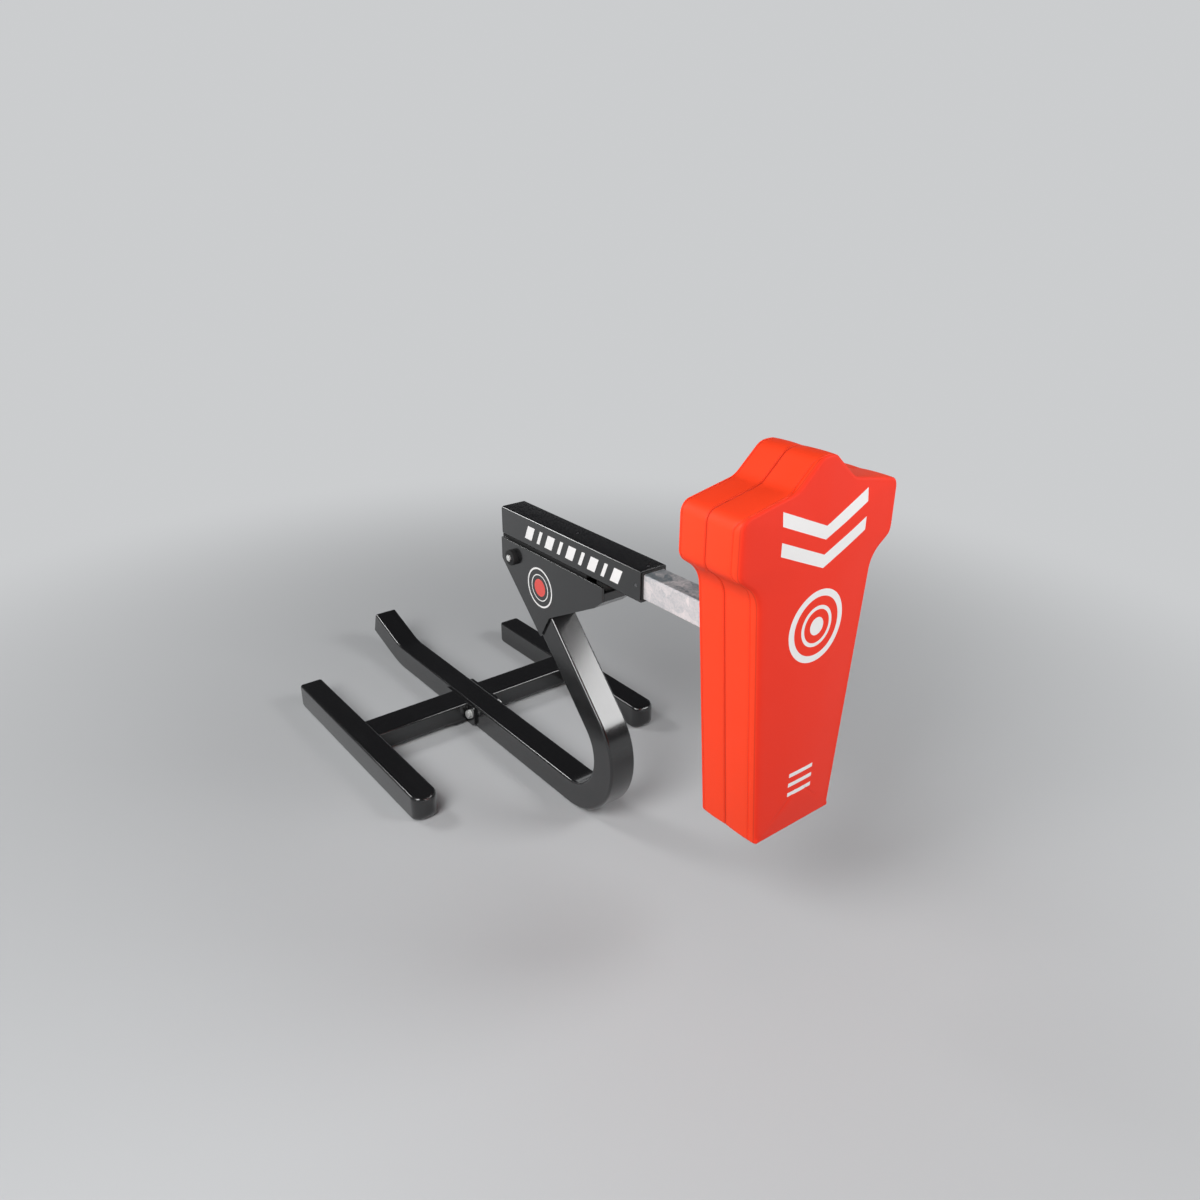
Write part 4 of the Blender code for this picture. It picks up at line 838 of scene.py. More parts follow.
def make_runner(side):
    """One runner, from its nose to its tail."""
    nose_low, nose_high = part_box(f"runner_nose_{side}")
    front, rear = nose_low.y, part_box(f"runner_tail_{side}")[1].y
    centre_x = (nose_low.x + nose_high.x) / 2
    rings = [runner_ring(centre_x, front + d, d, NOSE) for d in runner_stations(NOSE["reach"])]
    rings += [runner_ring(centre_x, rear - d, d, TAIL) for d in reversed(runner_stations(TAIL["reach"]))]
    nodes = [f"{stem}_{side}" for stem in ("runner", "runner_nose", "runner_tail")]
    return finish_piece(f"runner_beam_{side}", skinned(rings), PAINT, "frame", "black_paint", nodes)


for side in ("left", "right"):
    runner = make_runner(side)
    print(runner.name, "from Y", round(min(v.co.y for v in runner.data.vertices), 3))

# %% [markdown]
# ## Crossbars and welds
# The crossbars are rectangular tubes, welded to a runner at one end and to a bolted flange at the
# other. A weld bead is a row of overlapping puddles, so its radius swells and shrinks every few
# millimetres along the seam.

# %% Crossbars
CROSSBAR_CORNER = 0.009


def crossbar_section(low, high):
    """The crossbar's section about its own middle."""
    return rectangle(high.y - low.y, high.z - low.z, CROSSBAR_CORNER)


def crossbar_ring(loop, low, high, x):
    """Points of the section, carried to the crossbar's place at x."""
    centre_y, centre_z = (low.y + high.y) / 2, (low.z + high.z) / 2
    return [Vector((x, centre_y + p.x, centre_z + p.y)) for p in loop]


def make_crossbar(side):
    """One crossbar between its flange and its runner."""
    low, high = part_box(f"crossbar_{side}")
    loop = crossbar_section(low, high)
    rings = [crossbar_ring(loop, low, high, x) for x in (low.x, high.x)]
    return finish_piece(f"crossbar_tube_{side}", skinned(rings), PAINT, "frame", "black_paint",
                        (f"crossbar_{side}",))


for side in ("left", "right"):
    make_crossbar(side)
print("crossbars made")

# %% Weld beads
BEAD_RADIUS = 0.0027
BEAD_SIDES = 8
BEAD_STEP = 0.0013
PUDDLE_PITCH = 0.0042
PUDDLE_RISE = 0.16
HAND_WANDER = 0.05
HAND_WAVES = 90.0


def resampled(path, step):
    """Points at even steps along an open path."""
    points = []
    for near, far in zip(path, path[1:]):
        length = (far - near).length
        count = max(1, round(length / step))
        points += [near.lerp(far, k / count) for k in range(count)]
    return points + [path[-1]]


def weld_bead(name, path, across, body):
    """A rippled bead along an open path that lies in the plane square to across."""
    points = resampled(path, BEAD_STEP)
    rings = []
    travelled = 0.0
    for i, point in enumerate(points):
        ahead, behind = points[min(i + 1, len(points) - 1)], points[max(i - 1, 0)]
        run = (ahead - behind).normalized()
        travelled += (ahead - point).length
        puddle = PUDDLE_RISE * abs(sin(pi * travelled / PUDDLE_PITCH))
        wander = HAND_WANDER * sin(travelled * HAND_WAVES)
        out = across.cross(run).normalized()
        rings.append(circle(point, BEAD_RADIUS * (1 + puddle + wander), out, across, BEAD_SIDES))
    return finish_piece(name, skinned(rings), PAINT, body, "black_paint", weighted=False)


def make_crossbar_welds():
    """Beads down the sides and under both ends of both crossbars; the tops are ground flush."""
    for side, sign in (("left", -1.0), ("right", 1.0)):
        low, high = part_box(f"crossbar_{side}")
        loop = crossbar_section(low, high)
        top = (high.z - low.z) / 2 - CROSSBAR_CORNER / 2
        first = max(i for i, p in enumerate(loop) if p.x > 0 and p.y > top)
        loop = [p for p in loop[first:] + loop[:first] if p.y <= top]
        ends = {"runner": low.x if sign < 0 else high.x, "flange": high.x if sign < 0 else low.x}
        for place, x in ends.items():
            path = crossbar_ring(loop, low, high, x)
            weld_bead(f"weld_{place}_{side}", path, Vector((1.0, 0.0, 0.0)), "frame")


make_crossbar_welds()
print("weld puddles every", PUDDLE_PITCH * 1000, "mm")

# %% [markdown]
# ## Plates and blocks
# Flange plates, gussets, the stop plate and the mounting plate are cut from sheet. Their shapes
# are right in CAD; all they need is the small round that tumbling and paint give an edge, because
# that edge is what draws the thin line of light. Copying the CAD node and bevelling it does this,
# and the housing, the lug under it and the rubber bumper get their edges the same way.

# %% Plates with softened edges
PLATE_EDGE = 0.0012
HOUSING_EDGE = 0.0010
BUMPER_EDGE = 0.0020

for node in ("flange_left", "flange_right", "brace_left", "brace_right", "stop_plate"):
    rounded_copy(node, PLATE_EDGE, PAINT, "frame", "black_paint")
for node in ("gusset_plate_left", "gusset_plate_right"):
    rounded_copy(node, PLATE_EDGE, PAINT_PLATE, "frame", "black_paint")
rounded_copy("stop_bumper", BUMPER_EDGE, RUBBER, "frame", "rubber")
rounded_copy("arm_housing", HOUSING_EDGE, PAINT_HOUSING, "housing", "black_paint")
rounded_copy("housing_end_plate", PLATE_EDGE, PAINT, "housing", "black_paint")
rounded_copy("pivot_lug", PLATE_EDGE, PAINT_MATTE, "housing", "black_paint")
rounded_copy("pad_mount_plate", HOUSING_EDGE, GALVANISED, "arm", "galvanised")
print("plates rounded")

# %% The arm tube
ARM = 0.079
ARM_CORNER = 0.0045
ARM_CORNER_STEP = radians(10.0)
ARM_END_EDGE = 0.001


def make_arm():
    """The galvanised tube, with the crisp round edge of cold-rolled section."""
    low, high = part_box("arm_tube")
    centre_z = (low.z + high.z) / 2
    rings = []
    for y, drawn in ((low.y, ARM_END_EDGE), (low.y + ARM_END_EDGE, 0.0), (high.y - ARM_END_EDGE, 0.0),
                     (high.y, ARM_END_EDGE)):
        loop = rectangle(ARM - 2 * drawn, ARM - 2 * drawn, ARM_CORNER, ARM_CORNER_STEP)
        rings.append([Vector((p.x, y, centre_z + p.y)) for p in loop])
    return finish_piece("arm_beam", skinned(rings), GALVANISED, "arm", "galvanised", ("arm_tube",))


make_arm()
print("arm tube", ARM * 1000, "mm square")

# %% [markdown]
# ## Bolts, nuts, washers and collars
# A hexagon head is a prism cut by a cone: near the top each corner is trimmed round and each flat
# keeps an arc. Taking the smaller of the cone's radius and the hexagon's radius in every
# direction gives exactly that shape.

# %% Turned and hexagon pieces
TURNED_SIDES = 72
CROWN_SHARE = 0.475
CROWN_EDGE = 0.94
CROWN_RISE = 0.0002
CONE_SLOPE = 0.55
CONE_STEPS = 6
NUT_SEAT_SHARE = 0.97
BOLT_CHAMFER = 0.0012
NUT_CHAMFER = 0.0008


def hexagon_radius(across_flats, angle):
    """Distance from a hexagon's centre to its side, in one direction."""
    sector = pi / 3
    return across_flats / 2 / cos((angle + sector / 2) % sector - sector / 2)


def turned(name, origin, along, profile, material, body, slot, nodes, closed=False):
    """A turned piece from (distance, radius, across flats or 0) steps."""
    first = Vector((0.0, 0.0, 1.0)) if abs(along.z) < 0.5 else Vector((0.0, 1.0, 0.0))
    side = along.cross(first).normalized()
    upright = side.cross(along).normalized()
    rings = []
    for distance, radius, across_flats in profile:
        ring = []
        for i in range(TURNED_SIDES):
            angle = 2 * pi * i / TURNED_SIDES
            reach = min(radius, hexagon_radius(across_flats, angle)) if across_flats else radius
            ring.append(origin + along * distance + reach * (cos(angle) * upright + sin(angle) * side))
        rings.append(ring)
    return finish_piece(name, skinned(rings, closed_row=closed), material, body, slot, nodes,
                        weighted=False)


def head_profile(across_flats, height):
    """A hexagon head's steps from its chamfered top at -height down to its seat at 0."""
    corner = across_flats / sqrt(3.0)
    crown = across_flats * CROWN_SHARE
    profile = [(-height, crown * CROWN_EDGE, 0.0), (-height + CROWN_RISE, crown, 0.0)]
    for k in range(1, CONE_STEPS + 1):
        out = (corner - crown) * k / CONE_STEPS
        profile.append((-height + out * CONE_SLOPE, crown + out, across_flats))
    return profile + [(0.0, corner, across_flats)]


def make_bolt(node, across_flats, height, radius):
    """A hexagon bolt along X in the place of its CAD node, with its head on the left."""
    low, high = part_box(node)
    centre = (low + high) / 2
    seat = Vector((low.x + height, centre.y, centre.z))
    length = (high.x - low.x) - height
    profile = head_profile(across_flats, height)
    profile += [(0.0, radius, 0.0), (length - BOLT_CHAMFER, radius, 0.0),
                (length, radius - BOLT_CHAMFER, 0.0)]
    return turned(f"{node}_fine", seat, Vector((1.0, 0.0, 0.0)), profile, ZINC, "frame", "zinc", (node,))


def make_nut(node, across_flats, bore):
    """A hexagon nut on a bolt along X, in the place of its CAD node."""
    low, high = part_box(node)
    centre = (low + high) / 2
    height = high.x - low.x
    corner = across_flats / sqrt(3.0)
    crown = across_flats * CROWN_SHARE
    profile = [(0.0, bore, 0.0), (0.0, corner * NUT_SEAT_SHARE, across_flats)]
    for k in range(CONE_STEPS + 1):
        out = (corner - crown) * (1 - k / CONE_STEPS)
        profile.append((height - out * CONE_SLOPE, crown + out, across_flats))
    profile += [(height, bore + NUT_CHAMFER, 0.0), (height - NUT_CHAMFER, bore, 0.0)]
    origin = Vector((low.x, centre.y, centre.z))
    return turned(f"{node}_fine", origin, Vector((1.0, 0.0, 0.0)), profile, ZINC, "frame", "zinc",
                  (node,), closed=True)


def make_ring(node, material, slot, bore, outward, chamfer):
    """A washer or collar along X, in the place of its CAD node."""
    low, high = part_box(node)
    centre = (low + high) / 2
    radius = (high.z - low.z) / 2
    length = high.x - low.x
    near = low.x if outward > 0 else high.x
    profile = [(0.0, bore, 0.0), (0.0, radius, 0.0), (length - chamfer, radius, 0.0),
               (length - chamfer * 0.3, radius - chamfer * 0.3, 0.0), (length, radius - chamfer, 0.0),
               (length, bore, 0.0)]
    return turned(f"{node}_fine", Vector((near, centre.y, centre.z)), Vector((outward, 0.0, 0.0)),
                  profile, material, "frame", slot, (node,), closed=True)


# %% Fasteners in their places
PIVOT_BOLT = {"hex": 0.021, "head": 0.0055, "radius": 0.007}
FLANGE_BOLT = {"hex": 0.030, "head": 0.0125, "radius": 0.010}
BOLTS = {"pivot_{}": PIVOT_BOLT, "flange_{}_front": FLANGE_BOLT, "flange_{}_rear": FLANGE_BOLT}
BOLT_PLAY = 0.0003
COLLAR_CHAMFER = 0.003
WASHER_CHAMFER = 0.0005
SCREW_HEAD = {"radius": 0.0046, "height": 0.0018, "seat_below_top": 0.0025}
SCREW_DOME = ((1.0, 0.45), (0.85, 0.75), (0.5, 0.95), (0.0, 1.0))
SCREW_SHANK = 0.0038
SCREWS = {"top": (0, 0, 1), "mid": (0, 0, 1), "left": (-1, 0, 0), "right": (1, 0, 0)}


def make_sleeve_screw(place, outward):
    """A small domed screw that holds a lining, in the place of its CAD node."""
    node = f"sleeve_screw_{place}"
    low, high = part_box(node)
    centre = (low + high) / 2
    out_end = Vector([high[i] if outward[i] > 0 else low[i] if outward[i] < 0 else centre[i]
                      for i in range(3)])
    reach = abs((high - low).dot(outward))
    seat = reach - SCREW_HEAD["seat_below_top"]
    profile = [(seat + SCREW_HEAD["height"] * up, SCREW_HEAD["radius"] * out, 0.0)
               for up, out in SCREW_DOME]
    profile += [(seat, SCREW_SHANK, 0.0), (0.0, SCREW_SHANK, 0.0)]
    return turned(f"{node}_fine", out_end - outward * reach, outward, profile, DARK_ZINC,
                  "housing", "zinc", (node,))


for place, outward in SCREWS.items():
    make_sleeve_screw(place, Vector(outward))
for stem, sizes in BOLTS.items():
    make_bolt(stem.format("bolt"), sizes["hex"], sizes["head"], sizes["radius"])
    make_nut(stem.format("nut"), sizes["hex"], sizes["radius"] + BOLT_PLAY)
for side, outward in (("left", -1.0), ("right", 1.0)):
    make_ring(f"pivot_collar_{side}", PAINT_MATTE, "black_paint", PIVOT_BOLT["radius"] + BOLT_PLAY,
              outward, COLLAR_CHAMFER)
    for place in ("front", "rear"):
        make_ring(f"flange_washer_{place}_{side}", ZINC, "zinc", FLANGE_BOLT["radius"] + BOLT_PLAY,
                  outward, WASHER_CHAMFER)
print("fasteners turned with", TURNED_SIDES, "sides")

# %% [markdown]
# ## The recoil spring
# The spring lies inside the housing between the arm's end block and a seat. It is a helix, so one
# loop places its rings. It shortens as the arm slides in; here only the share of its length that
# it keeps at full recoil is worked out.

# %% Wind the spring
SPRING_WIRE = 0.008
SPRING_MEAN_RADIUS = 0.031
SPRING_ACTIVE_TURNS = 10
SPRING_END_PITCH = 0.0090
SPRING_STEPS = 36
SPRING_SIDES = 12
RECOIL = frame["joints"][1]["range_m"][1]


def spring_centre(turn, start, pitch, axis_z):
    """The wire's centre after a number of turns."""
    active = min(max(turn - 1.0, 0.0), SPRING_ACTIVE_TURNS)
    y = start + SPRING_END_PITCH * (turn - active) + pitch * active
    angle = 2 * pi * turn
    return Vector((SPRING_MEAN_RADIUS * cos(angle), y, axis_z + SPRING_MEAN_RADIUS * sin(angle)))


def make_spring():
    """The wound wire, with a closed turn at each end."""
    low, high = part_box("recoil_spring")
    axis_z = (housing_low.z + housing_high.z) / 2
    start, end = low.y + SPRING_WIRE / 2, high.y - SPRING_WIRE / 2
    pitch = (end - start - 2 * SPRING_END_PITCH) / SPRING_ACTIVE_TURNS
    rings = []
    for i in range((SPRING_ACTIVE_TURNS + 2) * SPRING_STEPS + 1):
        centre = spring_centre(i / SPRING_STEPS, start, pitch, axis_z)
        outward = Vector((centre.x, 0.0, centre.z - axis_z)).normalized()
        rings.append(circle(centre, SPRING_WIRE / 2, outward, Vector((0.0, 1.0, 0.0)), SPRING_SIDES))
    spring = finish_piece("spring_wire", skinned(rings), STEEL, "housing", "spring_steel",
                          ("recoil_spring",), weighted=False)
    keep = 1 - RECOIL / (high.y - low.y)
    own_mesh(spring)
    return keep


print("at full recoil the spring keeps", round(make_spring(), 3), "of its length")

# %% [markdown]
# ## The pad
# The pad is stiff foam cut to a body shape: a tapering trunk, broad shoulders and a low head. Its
# cover is sewn from a face, a back and two bands that meet in a seam halfway through the depth.
# Rings that follow the outline, drawn in at each seam and swollen between seams, make the
# upholstered look; a short cloth simulation under pressure then lets the panels find their own
# crown, as cloth does over foam.

# %% The pad's outline
PAD_FACE_Y = pad_low.y + 0.006
PAD_BACK_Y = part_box("pad_rear_cover")[1].y
PAD_HEIGHT = pad_high.z - pad_low.z
OUTLINE_STEP = radians(7.0)
OUTLINE_SPACING = 0.009
PAD_HALF = [(0.1495, 0.0, 0.014), (0.2110, 0.7360, 0.085), (0.2790, 0.7860, 0.040),
            (0.2790, 0.9215, 0.034), (0.1085, 0.9535, 0.060), (0.0270, 1.0245, 0.050)]


def pad_outline():
    """Evenly spaced points round the pad seen from the front, each with its outward direction."""
    corners = PAD_HALF + [(0.0, PAD_HEIGHT, 0.0)] + [(-x, z, r) for x, z, r in reversed(PAD_HALF)]
    coarse = rounded_outline(corners, OUTLINE_STEP)
    points = []
    for near, far in zip(coarse, coarse[1:] + coarse[:1]):
        count = max(1, round((far - near).length / OUTLINE_SPACING))
        points += [near.lerp(far, k / count) for k in range(count)]
    outline = []
    for i, point in enumerate(points):
        run = (points[(i + 1) % len(points)] - points[i - 1]).normalized()
        outline.append((Vector((point.x, PAD_BOTTOM + point.y)), Vector((run.y, -run.x))))
    return outline


OUTLINE = pad_outline()
print("pad outline has", len(OUTLINE), "points")

# %% Rings from the seam to the face and to the back
SEAM_DEPTH = 0.0035
SEAM_PROFILE = ((0.0002, 1.0), (0.0009, 0.62), (0.002, 0.32), (0.004, 0.13), (0.008, 0.03))
BAND_STEPS = 10
BAND_START = 0.012
BAND_END_GAP = 0.006
RIM_SEAM_DEPTH = 0.0028
RIM_SEAM_PROFILE = ((0.0042, 0.05), (0.0028, 0.3), (0.0014, 1.0), (0.0, 0.3))
RIM_STEPS = 7
FACE_SHARES = (0.03, 0.07, 0.13, 0.2, 0.28, 0.37, 0.46, 0.55, 0.64, 0.73, 0.82, 0.91, 1.0)
SEAM_RINGS = len(SEAM_PROFILE)
RIM_FIRST = SEAM_RINGS + BAND_STEPS - 1
RIM_LAST = RIM_FIRST + len(RIM_SEAM_PROFILE)
FRONT_RIM = {"side": 0.021, "top": 0.007, "foot": 0.006}
REAR_RIM = {"side": 0.007, "top": 0.006, "foot": 0.006}
BAND_SWELL = 0.0012
BAND_FULLNESS = 0.6
CROWN = 0.006
CROWN_REACH = 0.8
SPINE_LOW = PAD_BOTTOM + 0.14
SPINE_HIGH = PAD_BOTTOM + 0.84


def rim_radius(rim, normal):
    """The front rim is soft down the sides and tight along the top and the foot."""
    upward = max(normal.y, 0.0) ** 2
    downward = max(-normal.y, 0.0) ** 2
    return rim["side"] + (rim["top"] - rim["side"]) * upward + (rim["foot"] - rim["side"]) * downward


def band_inset(share):
    """How far a band is drawn in, below 0 as it swells, from the middle seam (0) to the rim (1)."""
    return -BAND_SWELL * sin(pi * share) ** BAND_FULLNESS


def half_rings(face_y, crown, rim):
    """Rings of one half of the pad, from the seam to the middle of its face."""
    towards = 1.0 if SEAM_Y > face_y else -1.0
    depth = abs(SEAM_Y - face_y)
    rings = []
    for drop, inset in SEAM_PROFILE:
        rings.append([(p - n * (SEAM_DEPTH * inset), SEAM_Y - towards * drop) for p, n in OUTLINE])
    for share in (k / BAND_STEPS for k in range(1, BAND_STEPS)):
        ring = []
        for p, n in OUTLINE:
            end = depth - rim_radius(rim, n) - BAND_END_GAP
            along = BAND_START + (end - BAND_START) * share
            ring.append((p - n * band_inset(share), SEAM_Y - towards * along))
        rings.append(ring)
    for drop, inset in RIM_SEAM_PROFILE:
        rings.append([(p - n * inset * RIM_SEAM_DEPTH, face_y + towards * (rim_radius(rim, n) + drop))
                      for p, n in OUTLINE])
    for k in range(1, RIM_STEPS + 1):
        angle = pi / 2 * k / RIM_STEPS
        rings.append([(p - n * rim_radius(rim, n) * (1 - cos(angle)),
                       face_y + towards * rim_radius(rim, n) * (1 - sin(angle))) for p, n in OUTLINE])
    edge = [p - n * rim_radius(rim, n) for p, n in OUTLINE]
    for share in FACE_SHARES:
        ring = []
        for p in edge:
            middle = Vector((0.0, min(max(p.y, SPINE_LOW), SPINE_HIGH)))
            rise = crown * sin(min(share / CROWN_REACH, 1.0) * pi / 2)
            ring.append((p.lerp(middle, share), face_y - towards * rise))
        rings.append(ring)
    return [[Vector((p.x, y, p.y)) for p, y in ring] for ring in rings]


BAND_HOLD = 0.5
FACE_HOLD = 0.9
FACE_EASE = 0.06


def firmness(ring, crown):
    """How firmly a ring is held while the cover swells: 1 at a seam and on the flat back."""
    if ring < SEAM_RINGS or RIM_FIRST <= ring < RIM_LAST:
        return 1.0
    if ring < RIM_FIRST:
        return BAND_HOLD
    return 1.0 if crown == 0.0 else max(0.0, FACE_HOLD - FACE_EASE * (ring - RIM_LAST))


def pad_half(name, face_y, crown, rim, material, slot, nodes):
    """One closed half of the pad; the mesh remembers how firmly each ring is held."""
    rings = half_rings(face_y, crown, rim)
    builder = skinned(rings, last_cap=False)
    held = builder.verts.layers.float.new("held")
    builder.verts.ensure_lookup_table()
    for i, vertex in enumerate(builder.verts):
        vertex[held] = firmness(i // len(OUTLINE), crown)
    bmesh.ops.remove_doubles(builder, verts=builder.verts, dist=SAME_POINT)
    return finish_piece(name, builder, material, "arm", slot, nodes, weighted=False)


HALF_SHAPES = {"front": (PAD_FACE_Y, CROWN, FRONT_RIM), "rear": (PAD_BACK_Y, 0.0, REAR_RIM)}
front_half = pad_half("pad_front", *HALF_SHAPES["front"], FACE_VINYL, "vinyl_face",
                      ("pad_front_cover", "pad_foam"))
rear_half = pad_half("pad_rear", *HALF_SHAPES["rear"], SIDE_VINYL, "vinyl_side",
                     ("pad_rear_cover",))
print("pad halves have", len(front_half.data.vertices), "and", len(rear_half.data.vertices), "points")

# %% Stitches
STITCH_PITCH = 0.0056
STITCH_LENGTH = 0.0038
STITCH_RADIUS = 0.00045
STITCH_PROUD = 0.3
STITCH_STEPS = ((-0.5, 0.35), (-0.35, 1.0), (0.35, 1.0), (0.5, 0.35))
STITCH_SIDES = 6
STITCHED_RINGS = {"middle": 3, "rim": RIM_FIRST}


def stitch_row(name, ring):
    """Small sunk stitches at even spacing along a closed ring of the cover."""
    builder = bmesh.new()
    spare = 0.0
    for i, near in enumerate(ring):
        far = ring[(i + 1) % len(ring)]
        run = (far - near).normalized()
        normal = OUTLINE[i][1]
        outward = Vector((normal.x, 0.0, normal.y))
        beside = run.cross(outward).normalized()
        place = spare
        while place < (far - near).length:
            centre = near + run * place + outward * STITCH_RADIUS * STITCH_PROUD
            add_skin(builder, [circle(centre + run * STITCH_LENGTH * along, STITCH_RADIUS * width,
                                      outward, beside, STITCH_SIDES) for along, width in STITCH_STEPS])
            place += STITCH_PITCH
        spare = place - (far - near).length
    return finish_piece(name, builder, THREAD, "arm", "vinyl_side", weighted=False)


for half_name, shape in HALF_SHAPES.items():
    cover_rings = half_rings(*shape)
    for seam_name, number in STITCHED_RINGS.items():
        stitch_row(f"stitches_{half_name}_{seam_name}", cover_rings[number])
print("stitches every", STITCH_PITCH * 1000, "mm")

# %% [markdown]
# The rings make a tidy pad, but a tidy pad looks machined. Cloth over foam bulges between its
# seams and hangs on at them. A cloth simulation with pressure inside the cover does the same: the
# seams are pinned, gravity is off, and no point may move more than a few millimetres. Evening the
# push out over the cover afterwards takes away the creases that a short simulation leaves.

# %% Let the cover swell
SWELL_FRAMES = 20
SWELL_PRESSURE = 3.0
SWELL_LIMIT = 0.0035
CLOTH_QUALITY = 5
STRETCH_STIFFNESS = 20.0
BEND_STIFFNESS = 1.5
EVENING_ROUNDS = 12


def evened(mesh, values):
    """Each point's value as the mean of its own and its neighbours'."""
    totals = list(values)
    counts = [1] * len(values)
    for edge in mesh.edges:
        first, second = edge.vertices
        totals[first] += values[second]
        totals[second] += values[first]
        counts[first] += 1
        counts[second] += 1
    return [total / count for total, count in zip(totals, counts)]


def swell(piece):
    """Run the cover as cloth under pressure, and keep how far out it pushes, evened over the cover."""
    mesh = piece.data
    before = [vertex.co.copy() for vertex in mesh.vertices]
    outward = [vertex.normal.copy() for vertex in mesh.vertices]
    sewn = piece.vertex_groups.new(name="sewn")
    for i, value in enumerate(mesh.attributes["held"].data):
        sewn.add([i], value.value, "REPLACE")
    cloth = piece.modifiers.new("cover", "CLOTH")
    cloth.settings.quality = CLOTH_QUALITY
    cloth.settings.tension_stiffness = STRETCH_STIFFNESS
    cloth.settings.compression_stiffness = STRETCH_STIFFNESS
    cloth.settings.bending_stiffness = BEND_STIFFNESS
    cloth.settings.use_pressure = True
    cloth.settings.uniform_pressure_force = SWELL_PRESSURE
    cloth.settings.vertex_group_mass = "sewn"
    cloth.settings.effector_weights.gravity = 0.0
    cloth.point_cache.frame_start = 1
    cloth.point_cache.frame_end = SWELL_FRAMES
    for number in range(1, SWELL_FRAMES + 1):
        bpy.context.scene.frame_set(number)
    depsgraph = bpy.context.evaluated_depsgraph_get()
    after = [vertex.co.copy() for vertex in piece.evaluated_get(depsgraph).data.vertices]
    piece.modifiers.remove(cloth)
    bpy.context.scene.frame_set(1)
    pushed = [(new - old).dot(way) for old, new, way in zip(before, after, outward)]
    farthest = max(pushed)
    pushed = [min(max(push, 0.0), SWELL_LIMIT) for push in pushed]
    for _ in range(EVENING_ROUNDS):
        pushed = evened(mesh, pushed)
    held = mesh.attributes["held"].data
    for vertex, way, push, hold in zip(mesh.vertices, outward, pushed, held):
        vertex.co += way * push * (1 - hold.value)
    mesh.update()
    return farthest


for half in (front_half, rear_half):
    print(half.name, "moved by up to", round(swell(half) * 1000, 1), "mm before the limit")

# %% [markdown]
# ## Floor, light and background
# The sled stands on a plain pale floor that fades into a pale surround. The photograph's black
# tubes have dark tops and lighter sides: the sides mirror the floor, and the tops mirror a dark
# ceiling. So the light of the surround is pale near the horizon and dark overhead, while the camera
# sees it pale all over. Four soft lamps do the rest: a main lamp at the left, a wide one that the
# leaning post mirrors, a low one for the pad's face and one behind for the edges.

# %% Floor
SURROUND_PALE = (0.60, 0.61, 0.62)
FLOOR_COLOUR = (0.52, 0.53, 0.54)
FLOOR_CLOUD_SIZE = 0.9
FLOOR_CLOUD_SHADE = 0.94
FLOOR_SPECULAR = 0.2
FLOOR_ROUGHNESS = 0.75
FLOOR_RADIUS = 40.0
FLOOR_SIDES = 64
FADE_START = 0.9
FADE_END = 3.9


def make_floor():
    """A wide round floor."""
    builder = bmesh.new()
    bmesh.ops.create_circle(builder, cap_ends=True, radius=FLOOR_RADIUS, segments=FLOOR_SIDES)
    mesh = bpy.data.meshes.new("floor")
    builder.to_mesh(mesh)
    builder.free()
    finish = Finish("floor_paint")
    finish.shader.inputs["Specular IOR Level"].default_value = FLOOR_SPECULAR
    cloud = finish.noise(FLOOR_CLOUD_SIZE, detail=3.0)
    darker = tuple(c * FLOOR_CLOUD_SHADE for c in FLOOR_COLOUR)
    colour = finish.mix(cloud * 0.25, FLOOR_COLOUR, darker)
    finish.drive(base_color=colour, roughness=FLOOR_ROUGHNESS)
    reach = reach_of(finish.along("X"), finish.along("Y"))
    far = ((reach - FADE_START) / (FADE_END - FADE_START)).clamped()
    glow = finish.node("ShaderNodeEmission", None, {"Color": (*SURROUND_PALE, 1.0)})
    lit = Wire(finish, finish.shader.outputs["BSDF"])
    blend = finish.node("ShaderNodeMixShader", None, {0: far * far * (3 - 2 * far), 1: lit, 2: glow})
    finish.tree.links.new(blend.socket, finish.tree.nodes["Material Output"].inputs["Surface"])
    mesh.materials.append(finish.material)
    floor = bpy.data.objects.new("floor", mesh)
    bpy.context.scene.collection.objects.link(floor)


make_floor()

# %% Surround
CEILING_DARK = (0.03, 0.03, 0.033)
WALL_TOP = 0.145
CEILING_START = 0.22


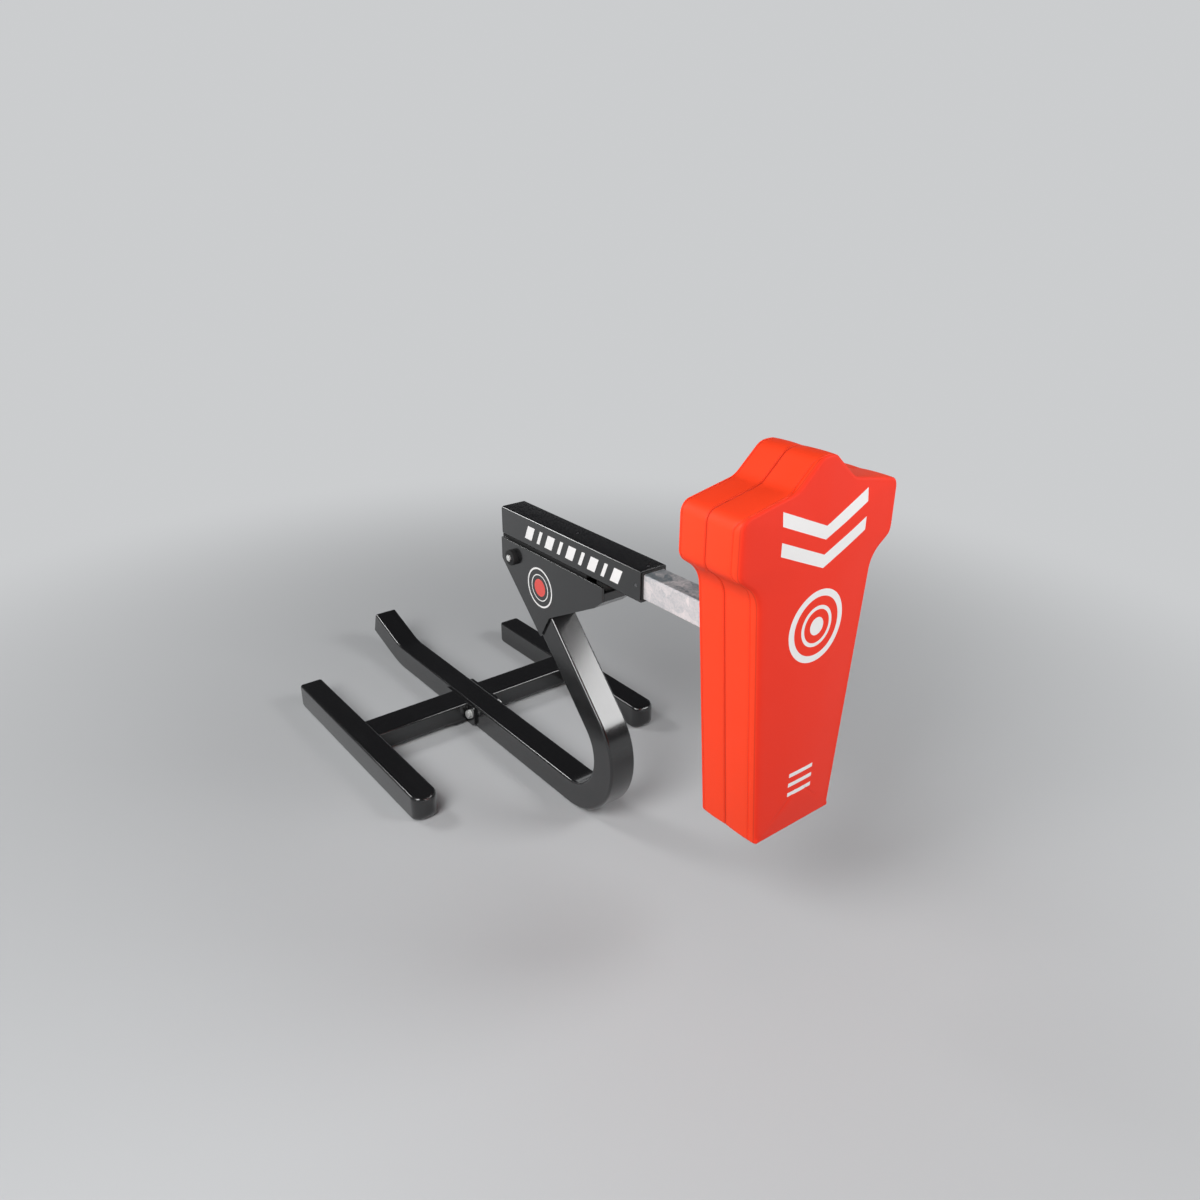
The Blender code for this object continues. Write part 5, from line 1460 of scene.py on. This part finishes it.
def make_surround():
    """A world that is pale to the camera, and whose light is pale round the horizon and dark above."""
    world = bpy.data.worlds.new("surround")
    bpy.context.scene.world = world
    world.use_nodes = True
    tree = world.node_tree
    background = tree.nodes["Background"]
    place = tree.nodes.new("ShaderNodeTexCoord")
    parts = tree.nodes.new("ShaderNodeSeparateXYZ")
    ramp = tree.nodes.new("ShaderNodeValToRGB")
    tree.links.new(place.outputs["Generated"], parts.inputs[0])
    tree.links.new(parts.outputs["Z"], ramp.inputs[0])
    path = tree.nodes.new("ShaderNodeLightPath")
    seen = tree.nodes.new("ShaderNodeMix")
    seen.data_type = "RGBA"
    mix_colours = {s.identifier: s for s in seen.inputs}
    mix_colours["B_Color"].default_value = (*SURROUND_PALE, 1.0)
    tree.links.new(path.outputs["Is Camera Ray"], mix_colours["Factor_Float"])
    tree.links.new(ramp.outputs["Color"], mix_colours["A_Color"])
    shown = {s.identifier: s for s in seen.outputs}["Result_Color"]
    tree.links.new(shown, background.inputs["Color"])
    stops = ((WALL_TOP, SURROUND_PALE), (CEILING_START, CEILING_DARK))
    for element, (height, colour) in zip(ramp.color_ramp.elements, stops):
        element.position = height
        element.color = (*colour, 1.0)


make_surround()

# %% Lamps
AIM = Vector((0.0, -0.35, 0.6))
LAMPS = {
    "main_lamp": {"direction": (-0.75, -0.28, 0.60), "distance": 4.2, "width": 2.2, "height": 2.2,
                  "power": 146.0},
    "post_lamp": {"direction": (0.59, -0.582, 0.562), "distance": 3.8, "width": 1.7, "height": 1.2,
                  "power": 60.0},
    "front_lamp": {"direction": (0.15, -0.95, 0.28), "distance": 4.2, "width": 1.6, "height": 1.6,
                   "power": 20.0},
    "edge_lamp": {"direction": (-0.39, 0.72, 0.54), "distance": 4.0, "width": 1.0, "height": 1.0,
                  "power": 40.0},
}


def softbox(name, direction, distance, width, height, power):
    """A lamp of a width and height, at a distance from the sled and aimed at it."""
    data = bpy.data.lights.new(name, "AREA")
    data.shape = "RECTANGLE"
    data.size = width
    data.size_y = height
    data.energy = power
    lamp = bpy.data.objects.new(name, data)
    bpy.context.scene.collection.objects.link(lamp)
    way = Vector(direction).normalized()
    lamp.location = AIM + way * distance
    lamp.rotation_mode = "QUATERNION"
    lamp.rotation_quaternion = way.to_track_quat("Z", "Y")


for name, values in LAMPS.items():
    softbox(name, **values)
bpy.context.scene.view_settings.view_transform = "Standard"
print(len(LAMPS), "lamps")
